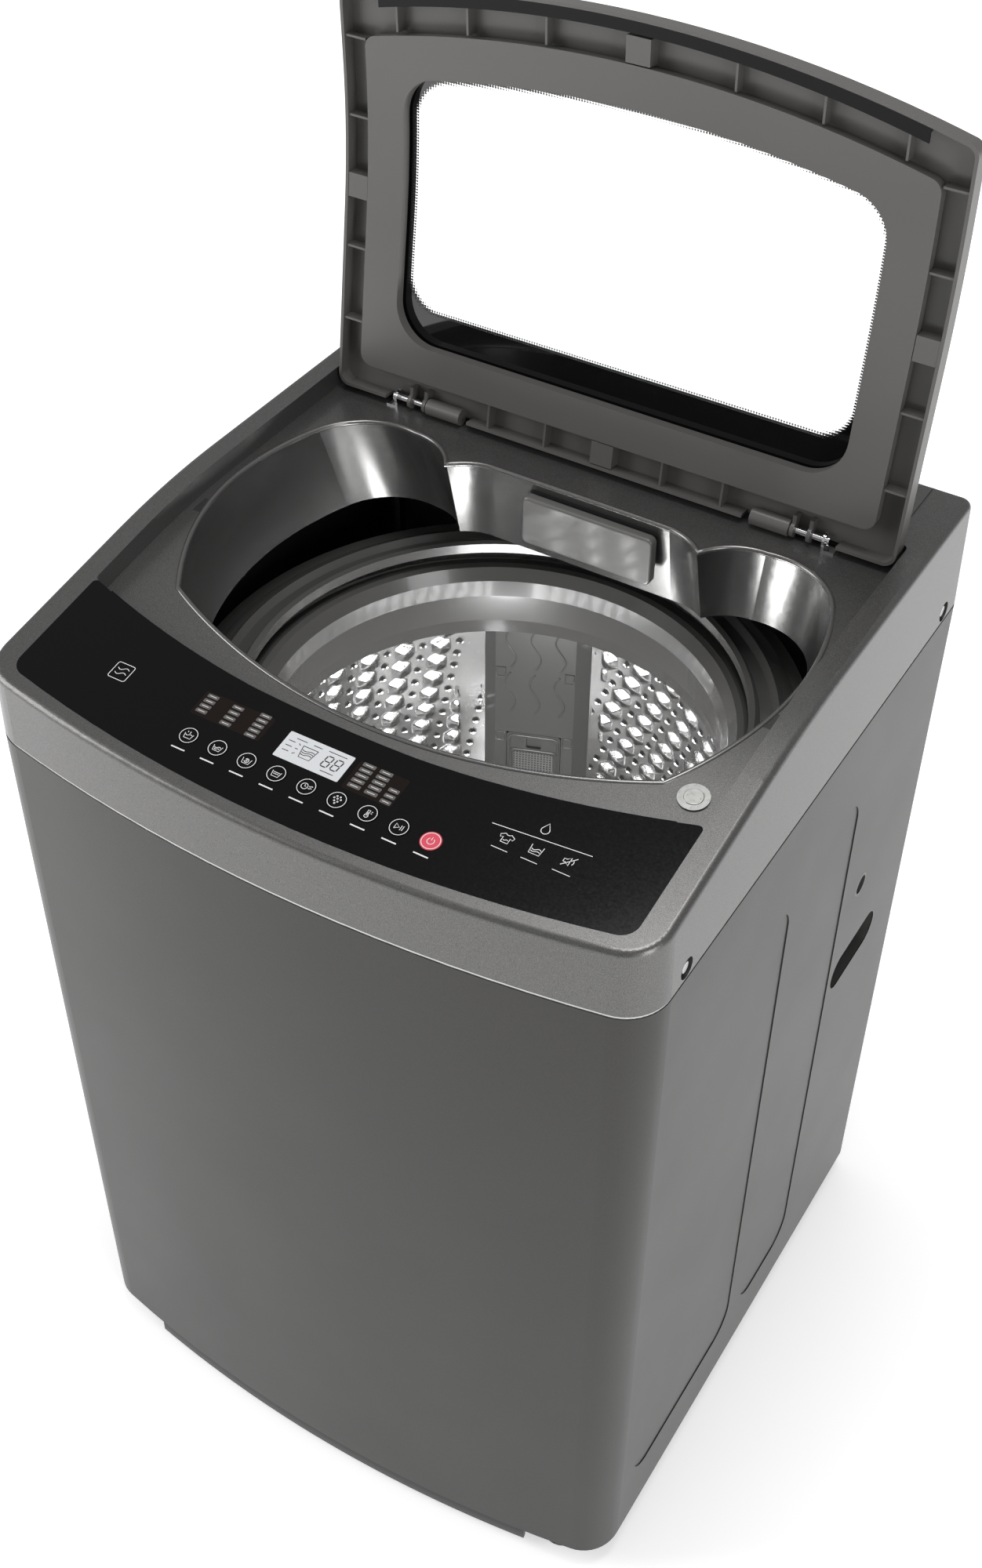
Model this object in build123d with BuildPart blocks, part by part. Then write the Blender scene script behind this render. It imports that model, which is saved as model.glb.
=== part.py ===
from build123d import *
import os
from math import atan2, cos, degrees, radians, sin, sqrt, tan

os.makedirs("parts", exist_ok=True)

# A top-loading washing machine, in millimetres, with its lid standing open.
# +Z is up, the front faces -Y, and the origin is the middle of the base on the floor.

# ---- case ----
CASE_WIDTH = 630.0
CASE_DEPTH = 636.0        # from the middle of the bowed front to the back
FRONT_BOW = 34.0          # how far the front bulges past its corners
FRONT_CORNER = 40.0       # plan radius of the front corners
BACK_CORNER = 14.0
SHEET = 1.2               # painted steel sheet
CASE_BOTTOM = 31.0
SEAM_HEIGHT = 852.0       # top of the steel case
TRIM_HEIGHT = 3.0
BACK_INSET = 12.0         # the rear panel lies this deep, so that fittings stay inside

# ---- top cover ----
COVER_WALL = 3.0
COVER_LEAN = 1.5          # degrees that the outer wall leans in
NOSE_RISE = 60.0          # front edge above the trim
BACK_RISE = 108.0         # level back above the trim
TOP_SLOPE = 9.65          # degrees
CROWN_RADIUS = 813.0      # blends the slope into the level back
EDGE_ROUND = 6.0          # rounding of the cover's outer top edges
LID_SEAT = 20.0           # depth of the well that the lid lies in
WELL_HALF = 289.5
GAP = 0.3                 # clearance between pieces of different bodies
FIT = 0.2                 # clearance between fixed pieces

# ---- control panel ----
PANEL_HALF = 289.0
PANEL_FRONT = 15.0        # behind the nose, measured up the slope
PANEL_BACK = 114.0
PANEL_BACK_BOW = 46.0
PANEL_THICK = 3.0
PANEL_ROUND = 16.0
PANEL_FRONT_BOW = 32.0
BUTTON_COUNT = 9
BUTTON_PITCH = 28.3
BUTTON_ROW = 54.0
BUTTON_MIDDLE = 2.0
BUTTON_RADIUS = 8.6
BUTTON_TRAVEL = 0.8
DISPLAY_SIZE = (62.0, 28.0)
DISPLAY_PLACE = (-10.0, 82.0)

# ---- lid ----
LID_HALF = 286.0
LID_LENGTH = 397.0        # from the hinge pin to the middle of the front edge
LID_BOW = 36.0
LID_TAIL = 3.0            # the lid ends this far behind its pin
LID_DEPTH = 17.0
LID_WALL = 3.0
LID_BAND = 24.0           # pocketed border round the inner frame
HINGE_Y = 204.0
HINGE_RISE = 97.0         # pin above the trim
OPEN_ANGLE = 98.0
GLASS_THICK = 4.0
PIN_RADIUS = 3.0
BARREL_RADIUS = 8.0

# ---- tub and basket ----
TUB_RADIUS = 281.0
TUB_WALL = 2.5
TUB_BOTTOM = 285.0
TUB_TOP = 798.0
BASKET_RADIUS = 255.0
BASKET_WALL = 0.8
BASKET_BOTTOM = 335.0
RING_BOTTOM = 718.0
RING_LIP = 212.5          # inner radius of the balance ring at its foot
RING_THROAT = 208.0
LIP_RADIUS = 227.0        # mouth of the tub cover
PULSATOR_RADIUS = 192.0

# ---- drive ----
SHAFT_RADIUS = 9.0
SPIN_TUBE_RADIUS = 17.5
RUNNING = 0.05            # radial running clearance
PULLEY_RADIUS = 80.0
MOTOR_PULLEY_RADIUS = 22.0
MOTOR_OFFSET = 178.0      # motor shaft from the drum axis
BELT_LEVEL = 150.0
BELT_THICK = 7.0
GEARBOX_RADIUS = 62.0

# ---- suspension and feet ----
ROD_X = 272.0
ROD_SPREAD = 250.0        # rods before and behind the drum axis
ROD_RADIUS = 4.0
FOOT_X = 258.0
FOOT_RADIUS = 20.0
FOOT_HEIGHT = 18.0
STEM_RADIUS = 5.0
FOOT_FRONT_Y = -262.0
FOOT_BACK_Y = 280.0

# ---- values worked out from the above ----
DRUM_Y = FRONT_BOW / 2
NOSE_Y = -CASE_DEPTH / 2
BACK_Y = CASE_DEPTH / 2
COVER_BASE = SEAM_HEIGHT + TRIM_HEIGHT
NOSE_Z = COVER_BASE + NOSE_RISE
BACK_Z = COVER_BASE + BACK_RISE
KNEE_Z = BACK_Z - CROWN_RADIUS * (1 - cos(radians(TOP_SLOPE)))
KNEE_Y = NOSE_Y + (KNEE_Z - NOSE_Z) / tan(radians(TOP_SLOPE))
HINGE_Z = COVER_BASE + HINGE_RISE
HINGE_AXIS = Axis((0, HINGE_Y, HINGE_Z), (1, 0, 0))
WELL_BACK = HINGE_Y + 14.0
LID_FRONT = HINGE_Y - LID_LENGTH
SKIRT_BOTTOM = TUB_TOP + 34.0
DRUM_AXIS = Axis((0, DRUM_Y, 0), (0, 0, 1))
PANEL_PLANE = Plane(
    origin=(0, NOSE_Y, NOSE_Z),
    x_dir=(1, 0, 0),
    z_dir=(0, -sin(radians(TOP_SLOPE)), cos(radians(TOP_SLOPE))),
)
LAYER_BASE = COVER_BASE - 60.0
LAYER_HEIGHT = BACK_RISE + 120.0
SPAN = CASE_WIDTH + 200.0
DRAIN_X = 150.0
DRAIN_Y = 150.0
OUTLET_Z = 120.0
OUTLET_RADIUS = 15.0
ROD_PLACES = [
    (side * ROD_X, DRUM_Y + end * ROD_SPREAD) for side in (-1, 1) for end in (-1, 1)
]


def save(piece, name):
    """Label a finished piece and write it to its own file."""
    piece.label = name
    export_step(piece, f"parts/{name}.step")


# ---- shared shapes ----
def case_plan(level, inset):
    """Outline of the case at one level: straight back and sides, bowed front."""
    half = CASE_WIDTH / 2 - inset
    back = BACK_Y - inset
    nose = NOSE_Y + inset
    with BuildSketch(Plane.XY.offset(level)) as plan:
        with BuildLine():
            ThreePointArc((-half, nose + FRONT_BOW), (0, nose), (half, nose + FRONT_BOW))
            Polyline(
                (half, nose + FRONT_BOW), (half, back), (-half, back), (-half, nose + FRONT_BOW)
            )
        make_face()
        fillet(plan.vertices().group_by(Axis.Y)[0], radius=FRONT_CORNER - inset)
        fillet(plan.vertices().group_by(Axis.Y)[-1], radius=max(BACK_CORNER - inset, 1.0))
    return plan.sketch


def under_top(drop):
    """Everything below the crowned top surface, lowered by drop."""
    start = NOSE_Y - 60.0
    with BuildPart() as block:
        with BuildSketch(Plane.YZ.offset(-SPAN / 2)):
            with BuildLine():
                ramp = Line(
                    (start, NOSE_Z - drop - 60.0 * tan(radians(TOP_SLOPE))),
                    (KNEE_Y, KNEE_Z - drop),
                )
                crown = JernArc(
                    start=ramp @ 1, tangent=ramp % 1, radius=CROWN_RADIUS, arc_size=-TOP_SLOPE
                )
                Polyline(
                    crown @ 1,
                    (BACK_Y + 60.0, BACK_Z - drop),
                    (BACK_Y + 60.0, LAYER_BASE - 100.0),
                    (start, LAYER_BASE - 100.0),
                    ramp @ 0,
                )
            make_face()
        extrude(amount=SPAN)
    return block.part


def top_layer(plan, upper, lower):
    """Layer of the crowned top between two drops, cut to a plan outline."""
    with BuildPart() as layer:
        extrude(plan, amount=LAYER_HEIGHT)
        add(under_top(upper), mode=Mode.INTERSECT)
        add(under_top(lower), mode=Mode.SUBTRACT)
    return layer.part


def bowed_plan(level, half, front, bow, back, radius):
    """Outline with a bowed front edge and a straight back."""
    with BuildSketch(Plane.XY.offset(level)) as plan:
        with BuildLine():
            ThreePointArc((-half, front + bow), (0, front), (half, front + bow))
            Polyline((half, front + bow), (half, back), (-half, back), (-half, front + bow))
        make_face()
        fillet(plan.vertices(), radius=max(radius, 1.0))
    return plan.sketch


def half_section(x, y, outline):
    """Half section of a turned piece, as (radius, height) points, on its axis at x, y."""
    with BuildSketch(Plane((x, y, 0), x_dir=(1, 0, 0), z_dir=(0, -1, 0))) as half:
        with BuildLine():
            Polyline(*outline, close=True)
        make_face()
    return half.sketch


def turn(outline, x=0.0, y=DRUM_Y, mode=Mode.ADD):
    """Turn a half section about the upright axis at x, y."""
    revolve(half_section(x, y, outline), axis=Axis((x, y, 0), (0, 0, 1)), mode=mode)


def post(x, y, base, top, radius, mode=Mode.ADD):
    """Upright round post or hole."""
    with Locations((x, y, (base + top) / 2)):
        Cylinder(radius, top - base, mode=mode)


def block(low, high, mode=Mode.ADD):
    """Box given by its lowest and highest corners."""
    middle = tuple((a + b) / 2 for a, b in zip(low, high))
    with Locations(middle):
        Box(*[b - a for a, b in zip(low, high)], mode=mode)


def across(x0, x1, y, z, radius, mode=Mode.ADD):
    """Round bar or hole along X."""
    with Locations(Location(((x0 + x1) / 2, y, z), (0, 90, 0))):
        Cylinder(radius, x1 - x0, mode=mode)


def along(y0, y1, x, z, radius, mode=Mode.ADD):
    """Round bar or hole along Y."""
    with Locations(Location((x, (y0 + y1) / 2, z), (90, 0, 0))):
        Cylinder(radius, y1 - y0, mode=mode)


# ---- case ----
GRIP_Y = 190.0
GRIP_Z = 497.0
GRIP_SIZE = (104.0, 40.0)
PLUG_Y = 178.0
PLUG_Z = 600.0
PLUG_RADIUS = 15.0
STAMP_DEPTH = 1.0
STAMPS = (
    ((-226.0, -14.0), (100.0, 750.0)),     # (front and back), (foot and head)
    ((14.0, 130.0), (90.0, 760.0)),
)
REAR_HALF = 285.0
REAR_FOOT = 60.0
REAR_HEAD = 836.0


def stamp_plan(x, spread, rise, inset):
    """Rounded outline of one pressed side field."""
    with BuildSketch(Plane.YZ.offset(x)) as field:
        with Locations(((spread[0] + spread[1]) / 2, (rise[0] + rise[1]) / 2)):
            RectangleRounded(
                spread[1] - spread[0] - 2 * inset, rise[1] - rise[0] - 2 * inset, 32.0 - inset
            )
    return field.sketch


HANGER_LEVEL = SEAM_HEIGHT - 32.0
HANGER_THICK = 3.0
with BuildPart() as hangers:
    for x, y in ROD_PLACES:
        block((x - 45, y - 35, HANGER_LEVEL), (x + 45, y + 35, HANGER_LEVEL + HANGER_THICK))
    extrude(case_plan(HANGER_LEVEL - 5, SHEET / 2), amount=20.0, mode=Mode.INTERSECT)
    for x, y in ROD_PLACES:
        post(x, y, HANGER_LEVEL - 1, HANGER_LEVEL + 5, ROD_RADIUS + 0.4, mode=Mode.SUBTRACT)

with BuildPart() as cabinet:
    extrude(case_plan(CASE_BOTTOM, 0), amount=SEAM_HEIGHT - CASE_BOTTOM)
    extrude(case_plan(CASE_BOTTOM, SHEET), amount=SEAM_HEIGHT - CASE_BOTTOM, mode=Mode.SUBTRACT)
    block(
        (-REAR_HALF, BACK_Y - 2 * SHEET, REAR_FOOT),
        (REAR_HALF, BACK_Y + 1.0, REAR_HEAD),
        mode=Mode.SUBTRACT,
    )
    inner = CASE_WIDTH / 2 - SHEET
    for spread, rise in STAMPS:
        for side in (-1, 1):
            extrude(
                stamp_plan(side * inner, spread, rise, 0), amount=-side * STAMP_DEPTH
            )
            extrude(
                stamp_plan(side * CASE_WIDTH / 2, spread, rise, SHEET),
                amount=-side * STAMP_DEPTH,
                mode=Mode.SUBTRACT,
            )
    for side in (-1, 1):
        with BuildSketch(Plane.YZ.offset(side * (inner - 1.0))):
            with Locations((GRIP_Y, GRIP_Z)):
                SlotOverall(*GRIP_SIZE)
            with Locations((PLUG_Y, PLUG_Z)):
                Circle(PLUG_RADIUS - 2.0)
        extrude(amount=side * 4.0, mode=Mode.SUBTRACT)
    add(hangers.part)
save(cabinet.part, "cabinet")

with BuildPart() as rear_panel:
    block(
        (-REAR_HALF - 8, BACK_Y - BACK_INSET - SHEET, REAR_FOOT - 10),
        (REAR_HALF + 8, BACK_Y - SHEET, REAR_HEAD + 10),
    )
    block(
        (-REAR_HALF, BACK_Y - BACK_INSET, REAR_FOOT - 2),
        (REAR_HALF, BACK_Y, REAR_HEAD + 2),
        mode=Mode.SUBTRACT,
    )
    block(
        (-REAR_HALF - 8 - 1, BACK_Y - BACK_INSET - 3 * SHEET, REAR_FOOT - 2 + SHEET),
        (-REAR_HALF - SHEET, BACK_Y - 2 * SHEET, REAR_HEAD + 2 - SHEET),
        mode=Mode.SUBTRACT,
    )
    block(
        (REAR_HALF + SHEET, BACK_Y - BACK_INSET - 3 * SHEET, REAR_FOOT - 2 + SHEET),
        (REAR_HALF + 8 + 1, BACK_Y - 2 * SHEET, REAR_HEAD + 2 - SHEET),
        mode=Mode.SUBTRACT,
    )
    for level in (230.0, 420.0, 610.0):
        block(
            (-200, BACK_Y - BACK_INSET - SHEET, level),
            (200, BACK_Y - BACK_INSET + 3, level + 60),
        )
        block(
            (-200 + SHEET, BACK_Y - BACK_INSET - 2 * SHEET, level + SHEET),
            (200 - SHEET, BACK_Y - BACK_INSET + 3 - SHEET, level + 60 - SHEET),
            mode=Mode.SUBTRACT,
        )
    along(BACK_Y - 20, BACK_Y, DRAIN_X, OUTLET_Z, OUTLET_RADIUS + FIT, mode=Mode.SUBTRACT)
    along(BACK_Y - 20, BACK_Y, -210.0, 160.0, 9.0, mode=Mode.SUBTRACT)
save(rear_panel.part, "rear_panel")

with BuildPart() as cord_gland:
    along(BACK_Y - BACK_INSET - SHEET - 8, BACK_Y - 2, -210.0, 160.0, 8.9)
    along(BACK_Y - BACK_INSET, BACK_Y - BACK_INSET + 3, -210.0, 160.0, 13.0)
    along(BACK_Y - 40, BACK_Y, -210.0, 160.0, 4.2, mode=Mode.SUBTRACT)
save(cord_gland.part, "cord_gland")

with BuildPart() as side_grips:
    for side in (-1, 1):
        skin = side * (inner - 0.05)
        with BuildSketch(Plane.YZ.offset(skin)):
            with Locations((GRIP_Y, GRIP_Z)):
                SlotOverall(GRIP_SIZE[0] + 12, GRIP_SIZE[1] + 12)
        extrude(amount=-side * 20.0)
        with BuildSketch(Plane.YZ.offset(skin)):
            with Locations((GRIP_Y, GRIP_Z)):
                SlotOverall(*GRIP_SIZE)
        extrude(amount=-side * 17.5, mode=Mode.SUBTRACT)
save(side_grips.part, "side_grips")

with BuildPart() as side_plugs:
    for side in (-1, 1):
        skin = CASE_WIDTH / 2
        low, high = sorted((side * (skin + 0.0), side * (skin - 6)))
        across(low, high, PLUG_Y, PLUG_Z, PLUG_RADIUS - 2.0 - 0.1)
        low, high = sorted((side * (skin - SHEET - 0.05), side * (skin - 4)))
        across(low, high, PLUG_Y, PLUG_Z, PLUG_RADIUS)
        low, high = sorted((side * (skin + 1), side * (skin - 3)))
        across(low, high, PLUG_Y, PLUG_Z, PLUG_RADIUS - 5.0, mode=Mode.SUBTRACT)
save(side_plugs.part, "side_plugs")

FRAME_BASE = 20.0
FRAME_TOP = 48.0
FRAME_WALL = 3.0
PLINTH_BASE = 8.0
PLINTH_HALF = 205.0
FRAME_INSET = SHEET + FIT
with BuildPart() as base_frame:
    extrude(case_plan(FRAME_BASE, 6.0), amount=CASE_BOTTOM - FRAME_BASE)
    extrude(case_plan(CASE_BOTTOM, FRAME_INSET), amount=FRAME_TOP - CASE_BOTTOM)
    extrude(
        case_plan(FRAME_BASE + FRAME_WALL, FRAME_INSET + 9.0),
        amount=FRAME_TOP,
        mode=Mode.SUBTRACT,
    )
    with BuildSketch(Plane.XY.offset(FRAME_BASE - 1)):
        with Locations((0, DRUM_Y)):
            RectangleRounded(430, 430, 60)
    extrude(amount=FRAME_TOP, mode=Mode.SUBTRACT)
    for x in (-FOOT_X, FOOT_X):
        for y in (FOOT_FRONT_Y, FOOT_BACK_Y):
            post(x, y, FRAME_BASE, FRAME_TOP - 6, 13.0)
            post(x, y, FRAME_BASE - 1, FRAME_TOP, STEM_RADIUS + 0.05, mode=Mode.SUBTRACT)
    with BuildSketch(Plane.XY.offset(PLINTH_BASE)):
        add(case_plan(PLINTH_BASE, 7.0))
        add(case_plan(PLINTH_BASE, 10.0), mode=Mode.SUBTRACT)
        with Locations((0, NOSE_Y)):
            Rectangle(2 * PLINTH_HALF, 4 * FRONT_BOW, mode=Mode.INTERSECT)
    extrude(amount=FRAME_BASE - PLINTH_BASE)
save(base_frame.part, "base_frame")

def make_foot(x, y):
    """Fluted levelling foot with its threaded stem."""
    with BuildPart() as foot:
        post(x, y, 0, FOOT_HEIGHT, FOOT_RADIUS)
        with Locations((x, y, FOOT_HEIGHT / 2)):
            with PolarLocations(FOOT_RADIUS, 12):
                Cylinder(2.4, FOOT_HEIGHT - 6.0, mode=Mode.SUBTRACT)
        fillet(foot.faces().sort_by(Axis.Z)[0].outer_wire().edges(), radius=1.5)
        post(x, y, FOOT_HEIGHT, FRAME_TOP + 10.0, STEM_RADIUS)
    return foot.part


for side, x in (("left", -FOOT_X), ("right", FOOT_X)):
    save(make_foot(x, FOOT_FRONT_Y), f"foot_{side}")

with BuildPart() as rear_feet:
    for x in (-FOOT_X, FOOT_X):
        add(make_foot(x, FOOT_BACK_Y))
save(rear_feet.part, "rear_feet")

# ---- top cover ----
with BuildPart() as seam_trim:
    extrude(case_plan(SEAM_HEIGHT, 0.6), amount=TRIM_HEIGHT)
    extrude(case_plan(SEAM_HEIGHT, 5.0), amount=TRIM_HEIGHT, mode=Mode.SUBTRACT)
save(seam_trim.part, "seam_trim")


def well_plan(grow):
    """Outline of the lid well, from the back of the panel to behind the hinge."""
    lean = cos(radians(TOP_SLOPE))
    front = NOSE_Y + PANEL_BACK * lean
    return bowed_plan(
        LAYER_BASE,
        WELL_HALF + grow,
        front - grow,
        PANEL_BACK_BOW * lean,
        WELL_BACK + grow,
        6.0 + grow,
    )


def aperture_plan(level, side, front, rear, cusp, grow):
    """Loading opening: bowed front, round sides and three scallops at the back."""
    with BuildSketch(Plane.XY.offset(level)) as plan:
        with BuildLine():
            corner = (0.85 * side + grow, front + 56.0 - grow)
            ThreePointArc((-corner[0], corner[1]), (0, front - grow), corner)
            for hand in (-1, 1):
                a = (hand * corner[0], corner[1])
                b = (hand * (side - 16 + grow), rear - 40.0 + grow)
                c = (hand * (0.65 * side + grow / 2), rear + 4 + grow)
                d = (hand * 128.0, cusp + grow)
                e = (hand * 92.0, rear - 8.0 + grow)
                ThreePointArc(a, (hand * (side + grow), DRUM_Y - 30), b)
                ThreePointArc(b, (hand * (0.85 * side + grow), rear - 8.0 + grow), c)
                ThreePointArc(c, (hand * 148.0, (rear + cusp) / 2 + 8.0 + grow), d)
                ThreePointArc(d, (hand * 112.0, (rear + cusp) / 2 + grow - 1.0), e)
            Line((-92.0, rear - 8.0 + grow), (92.0, rear - 8.0 + grow))
        make_face()
    return plan.sketch


APERTURE_TOP = BACK_Z - 10.0
MOUTH = (279.0, -177.0, 166.0, 139.0)      # half width, front, rear and cusps at the top
THROAT = (254.0, -172.0, 186.0, 170.0)     # the same at the foot of the funnel


def aperture_loft(grow):
    """Tapering wall line of the loading opening."""
    with BuildPart() as funnel:
        loft(
            sections=[
                aperture_plan(APERTURE_TOP, *MOUTH, grow),
                aperture_plan(SKIRT_BOTTOM, *THROAT, grow),
            ],
            ruled=True,
        )
    return funnel.part


THREAD_RADIUS = 13.2      # three-quarter inch male pipe thread
THREAD_PITCH = 1.814
THREAD_ROOM = 1.8         # for the hose nut's skirt, all round
VALVE_X = -180.0
VALVE_Z = 906.0
DRAWER_X = 14.0
DRAWER_HALF = 67.0
DRAWER_FOOT = 880.0
DRAWER_HEAD = 930.0
DRAWER_FACE = 150.0       # front face, ahead of the rear wall of the opening
DRAWER_SLOT = 62.0        # half width of the slot in the cover
SCREW_SPOTS = ((1, -228.0), (1, 276.0), (-1, -228.0), (-1, 276.0))
SCREW_Z = COVER_BASE + 10.0
SCREW_SEAT = 4.0          # depth of the screw head's seat below the side
with BuildPart() as cover_hollow:
    extrude(case_plan(COVER_BASE - 1, COVER_WALL), amount=LAYER_HEIGHT, taper=COVER_LEAN)
    add(under_top(COVER_WALL), mode=Mode.INTERSECT)
    add(top_layer(well_plan(COVER_WALL), -50.0, LID_SEAT + COVER_WALL), mode=Mode.SUBTRACT)
    add(aperture_loft(2.5), mode=Mode.SUBTRACT)
    with BuildSketch(PANEL_PLANE.offset(-PANEL_THICK - COVER_WALL)):
        Rectangle(SPAN, 2 * (PANEL_BACK + PANEL_BACK_BOW + 3))
    extrude(amount=60.0, mode=Mode.SUBTRACT)
    block(
        (VALVE_X - 36, BACK_Y - 26, VALVE_Z - 34),
        (VALVE_X + 36, BACK_Y + 5, VALVE_Z + 34),
        mode=Mode.SUBTRACT,
    )


def panel_plan(grow, drop=0.0):
    """Outline of the control panel on the sloping front of the cover."""
    low = PANEL_FRONT - grow
    high = PANEL_BACK + grow
    edge = PANEL_HALF + grow
    with BuildSketch(PANEL_PLANE.offset(-drop)) as plan:
        with BuildLine():
            ThreePointArc((-edge, low + PANEL_FRONT_BOW), (0, low), (edge, low + PANEL_FRONT_BOW))
            Line((edge, low + PANEL_FRONT_BOW), (edge, high + PANEL_BACK_BOW))
            ThreePointArc((edge, high + PANEL_BACK_BOW), (0, high), (-edge, high + PANEL_BACK_BOW))
            Line((-edge, high + PANEL_BACK_BOW), (-edge, low + PANEL_FRONT_BOW))
        make_face()
        fillet(plan.vertices().group_by(Axis.Y)[0], radius=PANEL_ROUND + grow)
        fillet(plan.vertices().group_by(Axis.Y)[-1], radius=4.0)
    return plan.sketch


def on_panel(points, radius, drop, height, mode=Mode.ADD):
    """Round posts or holes standing square to the panel, from drop below its face."""
    with BuildSketch(PANEL_PLANE.offset(-drop)) as spots:
        with Locations(*points):
            Circle(radius)
    extrude(spots.sketch, amount=height, mode=mode)


BUTTON_PLACES = [
    (BUTTON_MIDDLE + (i - (BUTTON_COUNT - 1) / 2) * BUTTON_PITCH, BUTTON_ROW)
    for i in range(BUTTON_COUNT)
]
WINDOW_PLACES = (((-92.0, 87.0), (68.0, 26.0)), ((48.0, 81.0), (46.0, 30.0)))
BOX_MIDDLE = (BUTTON_MIDDLE, 72.0)
BOX_SIZE = (268.0, 68.0)

with BuildPart() as top_cover:
    extrude(case_plan(COVER_BASE, 0), amount=LAYER_HEIGHT, taper=COVER_LEAN)
    add(under_top(0), mode=Mode.INTERSECT)
    upper = top_cover.edges().filter_by(lambda edge: edge.center().Z > NOSE_Z - EDGE_ROUND)
    border = upper.filter_by(lambda edge: abs(edge.tangent_at(0.5).Z) < 0.9)
    rim = border.filter_by(lambda edge: abs(edge.center().X) > 1 or abs(edge.center().Y) > 300)
    fillet(rim, radius=EDGE_ROUND)
    add(cover_hollow.part, mode=Mode.SUBTRACT)
    add(top_layer(well_plan(0), -50.0, LID_SEAT), mode=Mode.SUBTRACT)
    add(aperture_loft(0), mode=Mode.SUBTRACT)
    extrude(aperture_plan(APERTURE_TOP, *MOUTH, 0.0), amount=40.0, mode=Mode.SUBTRACT)
    extrude(panel_plan(FIT, PANEL_THICK), amount=40.0, mode=Mode.SUBTRACT)
    with BuildSketch(PANEL_PLANE):
        with Locations(BOX_MIDDLE):
            RectangleRounded(*BOX_SIZE, 6.0)
    extrude(amount=-20.0, mode=Mode.SUBTRACT)
    block(
        (DRAWER_X - DRAWER_SLOT + 1, DRAWER_FACE + 3, DRAWER_FOOT + 4),
        (DRAWER_X + DRAWER_SLOT - 1, DRAWER_FACE + 48, DRAWER_HEAD - 9),
        mode=Mode.SUBTRACT,
    )
    block(
        (VALVE_X - 33, BACK_Y - 23, VALVE_Z - 31),
        (VALVE_X + 33, BACK_Y + 5, VALVE_Z + 31),
        mode=Mode.SUBTRACT,
    )
    along(BACK_Y - 30, BACK_Y, VALVE_X, VALVE_Z, THREAD_RADIUS + THREAD_ROOM, Mode.SUBTRACT)
    for side, y in SCREW_SPOTS:
        seat = CASE_WIDTH / 2 - SCREW_SEAT
        low, high = sorted((side * (seat - 3), side * (seat + 2.5)))
        block((low, y - 13, COVER_BASE), (high, y + 13, SCREW_Z + 12))
        low, high = sorted((side * seat, side * (seat + 9)))
        across(low, high, y, SCREW_Z, 9.5, mode=Mode.SUBTRACT)
        low, high = sorted((side * (seat - 12), side * (seat + 1)))
        across(low, high, y, SCREW_Z, 2.2, mode=Mode.SUBTRACT)
    for side in (-1, 1):
        low, high = sorted((side * 273.8, side * 275.8))
        block((low, HINGE_Y + 20, BACK_Z - 1.2), (high, BACK_Y + 1, BACK_Z + 1), Mode.SUBTRACT)
save(top_cover.part, "top_cover")

# ---- control panel ----
def window_openings(grow, drop, height, mode):
    """Display and indicator windows, standing square to the panel."""
    with BuildSketch(PANEL_PLANE.offset(-drop)) as openings:
        with Locations(DISPLAY_PLACE):
            RectangleRounded(DISPLAY_SIZE[0] + grow, DISPLAY_SIZE[1] + grow, 2.0)
        for place, size in WINDOW_PLACES:
            with Locations(place):
                RectangleRounded(size[0] + grow, size[1] + grow, 2.0)
    extrude(openings.sketch, amount=height, mode=mode)


SCOOP_HALF = 268.0        # half width of the dark finger scoop behind the panel
SCOOP_MIDDLE = -189.0     # its rear edge on the middle line
SCOOP_BOW = 24.0          # how far its ends lie behind that
SCOOP_SKIN = 1.5
with BuildPart() as scoop_shell:
    with BuildSketch(Plane.XY.offset(COVER_BASE)):
        with BuildLine():
            ThreePointArc(
                (-SCOOP_HALF, SCOOP_MIDDLE + SCOOP_BOW),
                (0, SCOOP_MIDDLE),
                (SCOOP_HALF, SCOOP_MIDDLE + SCOOP_BOW),
            )
            Polyline(
                (SCOOP_HALF, SCOOP_MIDDLE + SCOOP_BOW),
                (SCOOP_HALF, NOSE_Y),
                (-SCOOP_HALF, NOSE_Y),
                (-SCOOP_HALF, SCOOP_MIDDLE + SCOOP_BOW),
            )
        make_face()
    extrude(amount=BACK_RISE)
    add(top_layer(well_plan(0), 1.0, LID_SEAT), mode=Mode.INTERSECT)
    add(top_layer(well_plan(-SCOOP_SKIN), 0.5, LID_SEAT - SCOOP_SKIN), mode=Mode.SUBTRACT)

with BuildPart() as control_panel:
    extrude(panel_plan(0, PANEL_THICK), amount=PANEL_THICK)
    add(scoop_shell.part)
    on_panel(BUTTON_PLACES, BUTTON_RADIUS + GAP, PANEL_THICK, PANEL_THICK, Mode.SUBTRACT)
    window_openings(0, PANEL_THICK, PANEL_THICK, Mode.SUBTRACT)
save(control_panel.part, "control_panel")

with BuildPart() as display_windows:
    window_openings(-0.2, 2.2, 2.2, Mode.ADD)
save(display_windows.part, "display_windows")

BOX_DEPTH = 27.0
BOARD_DROP = 16.0
with BuildPart() as control_box:
    with BuildSketch(PANEL_PLANE.offset(-PANEL_THICK)):
        with Locations(BOX_MIDDLE):
            RectangleRounded(BOX_SIZE[0] - 2 * FIT, BOX_SIZE[1] - 2 * FIT, 5.8)
    extrude(amount=-BOX_DEPTH + PANEL_THICK)
    with BuildSketch(PANEL_PLANE.offset(-PANEL_THICK)):
        with Locations(BOX_MIDDLE):
            RectangleRounded(BOX_SIZE[0] - 4.4, BOX_SIZE[1] - 4.4, 3.0)
    extrude(amount=-BOX_DEPTH + PANEL_THICK + 2.0, mode=Mode.SUBTRACT)
save(control_box.part, "control_box")

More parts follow.
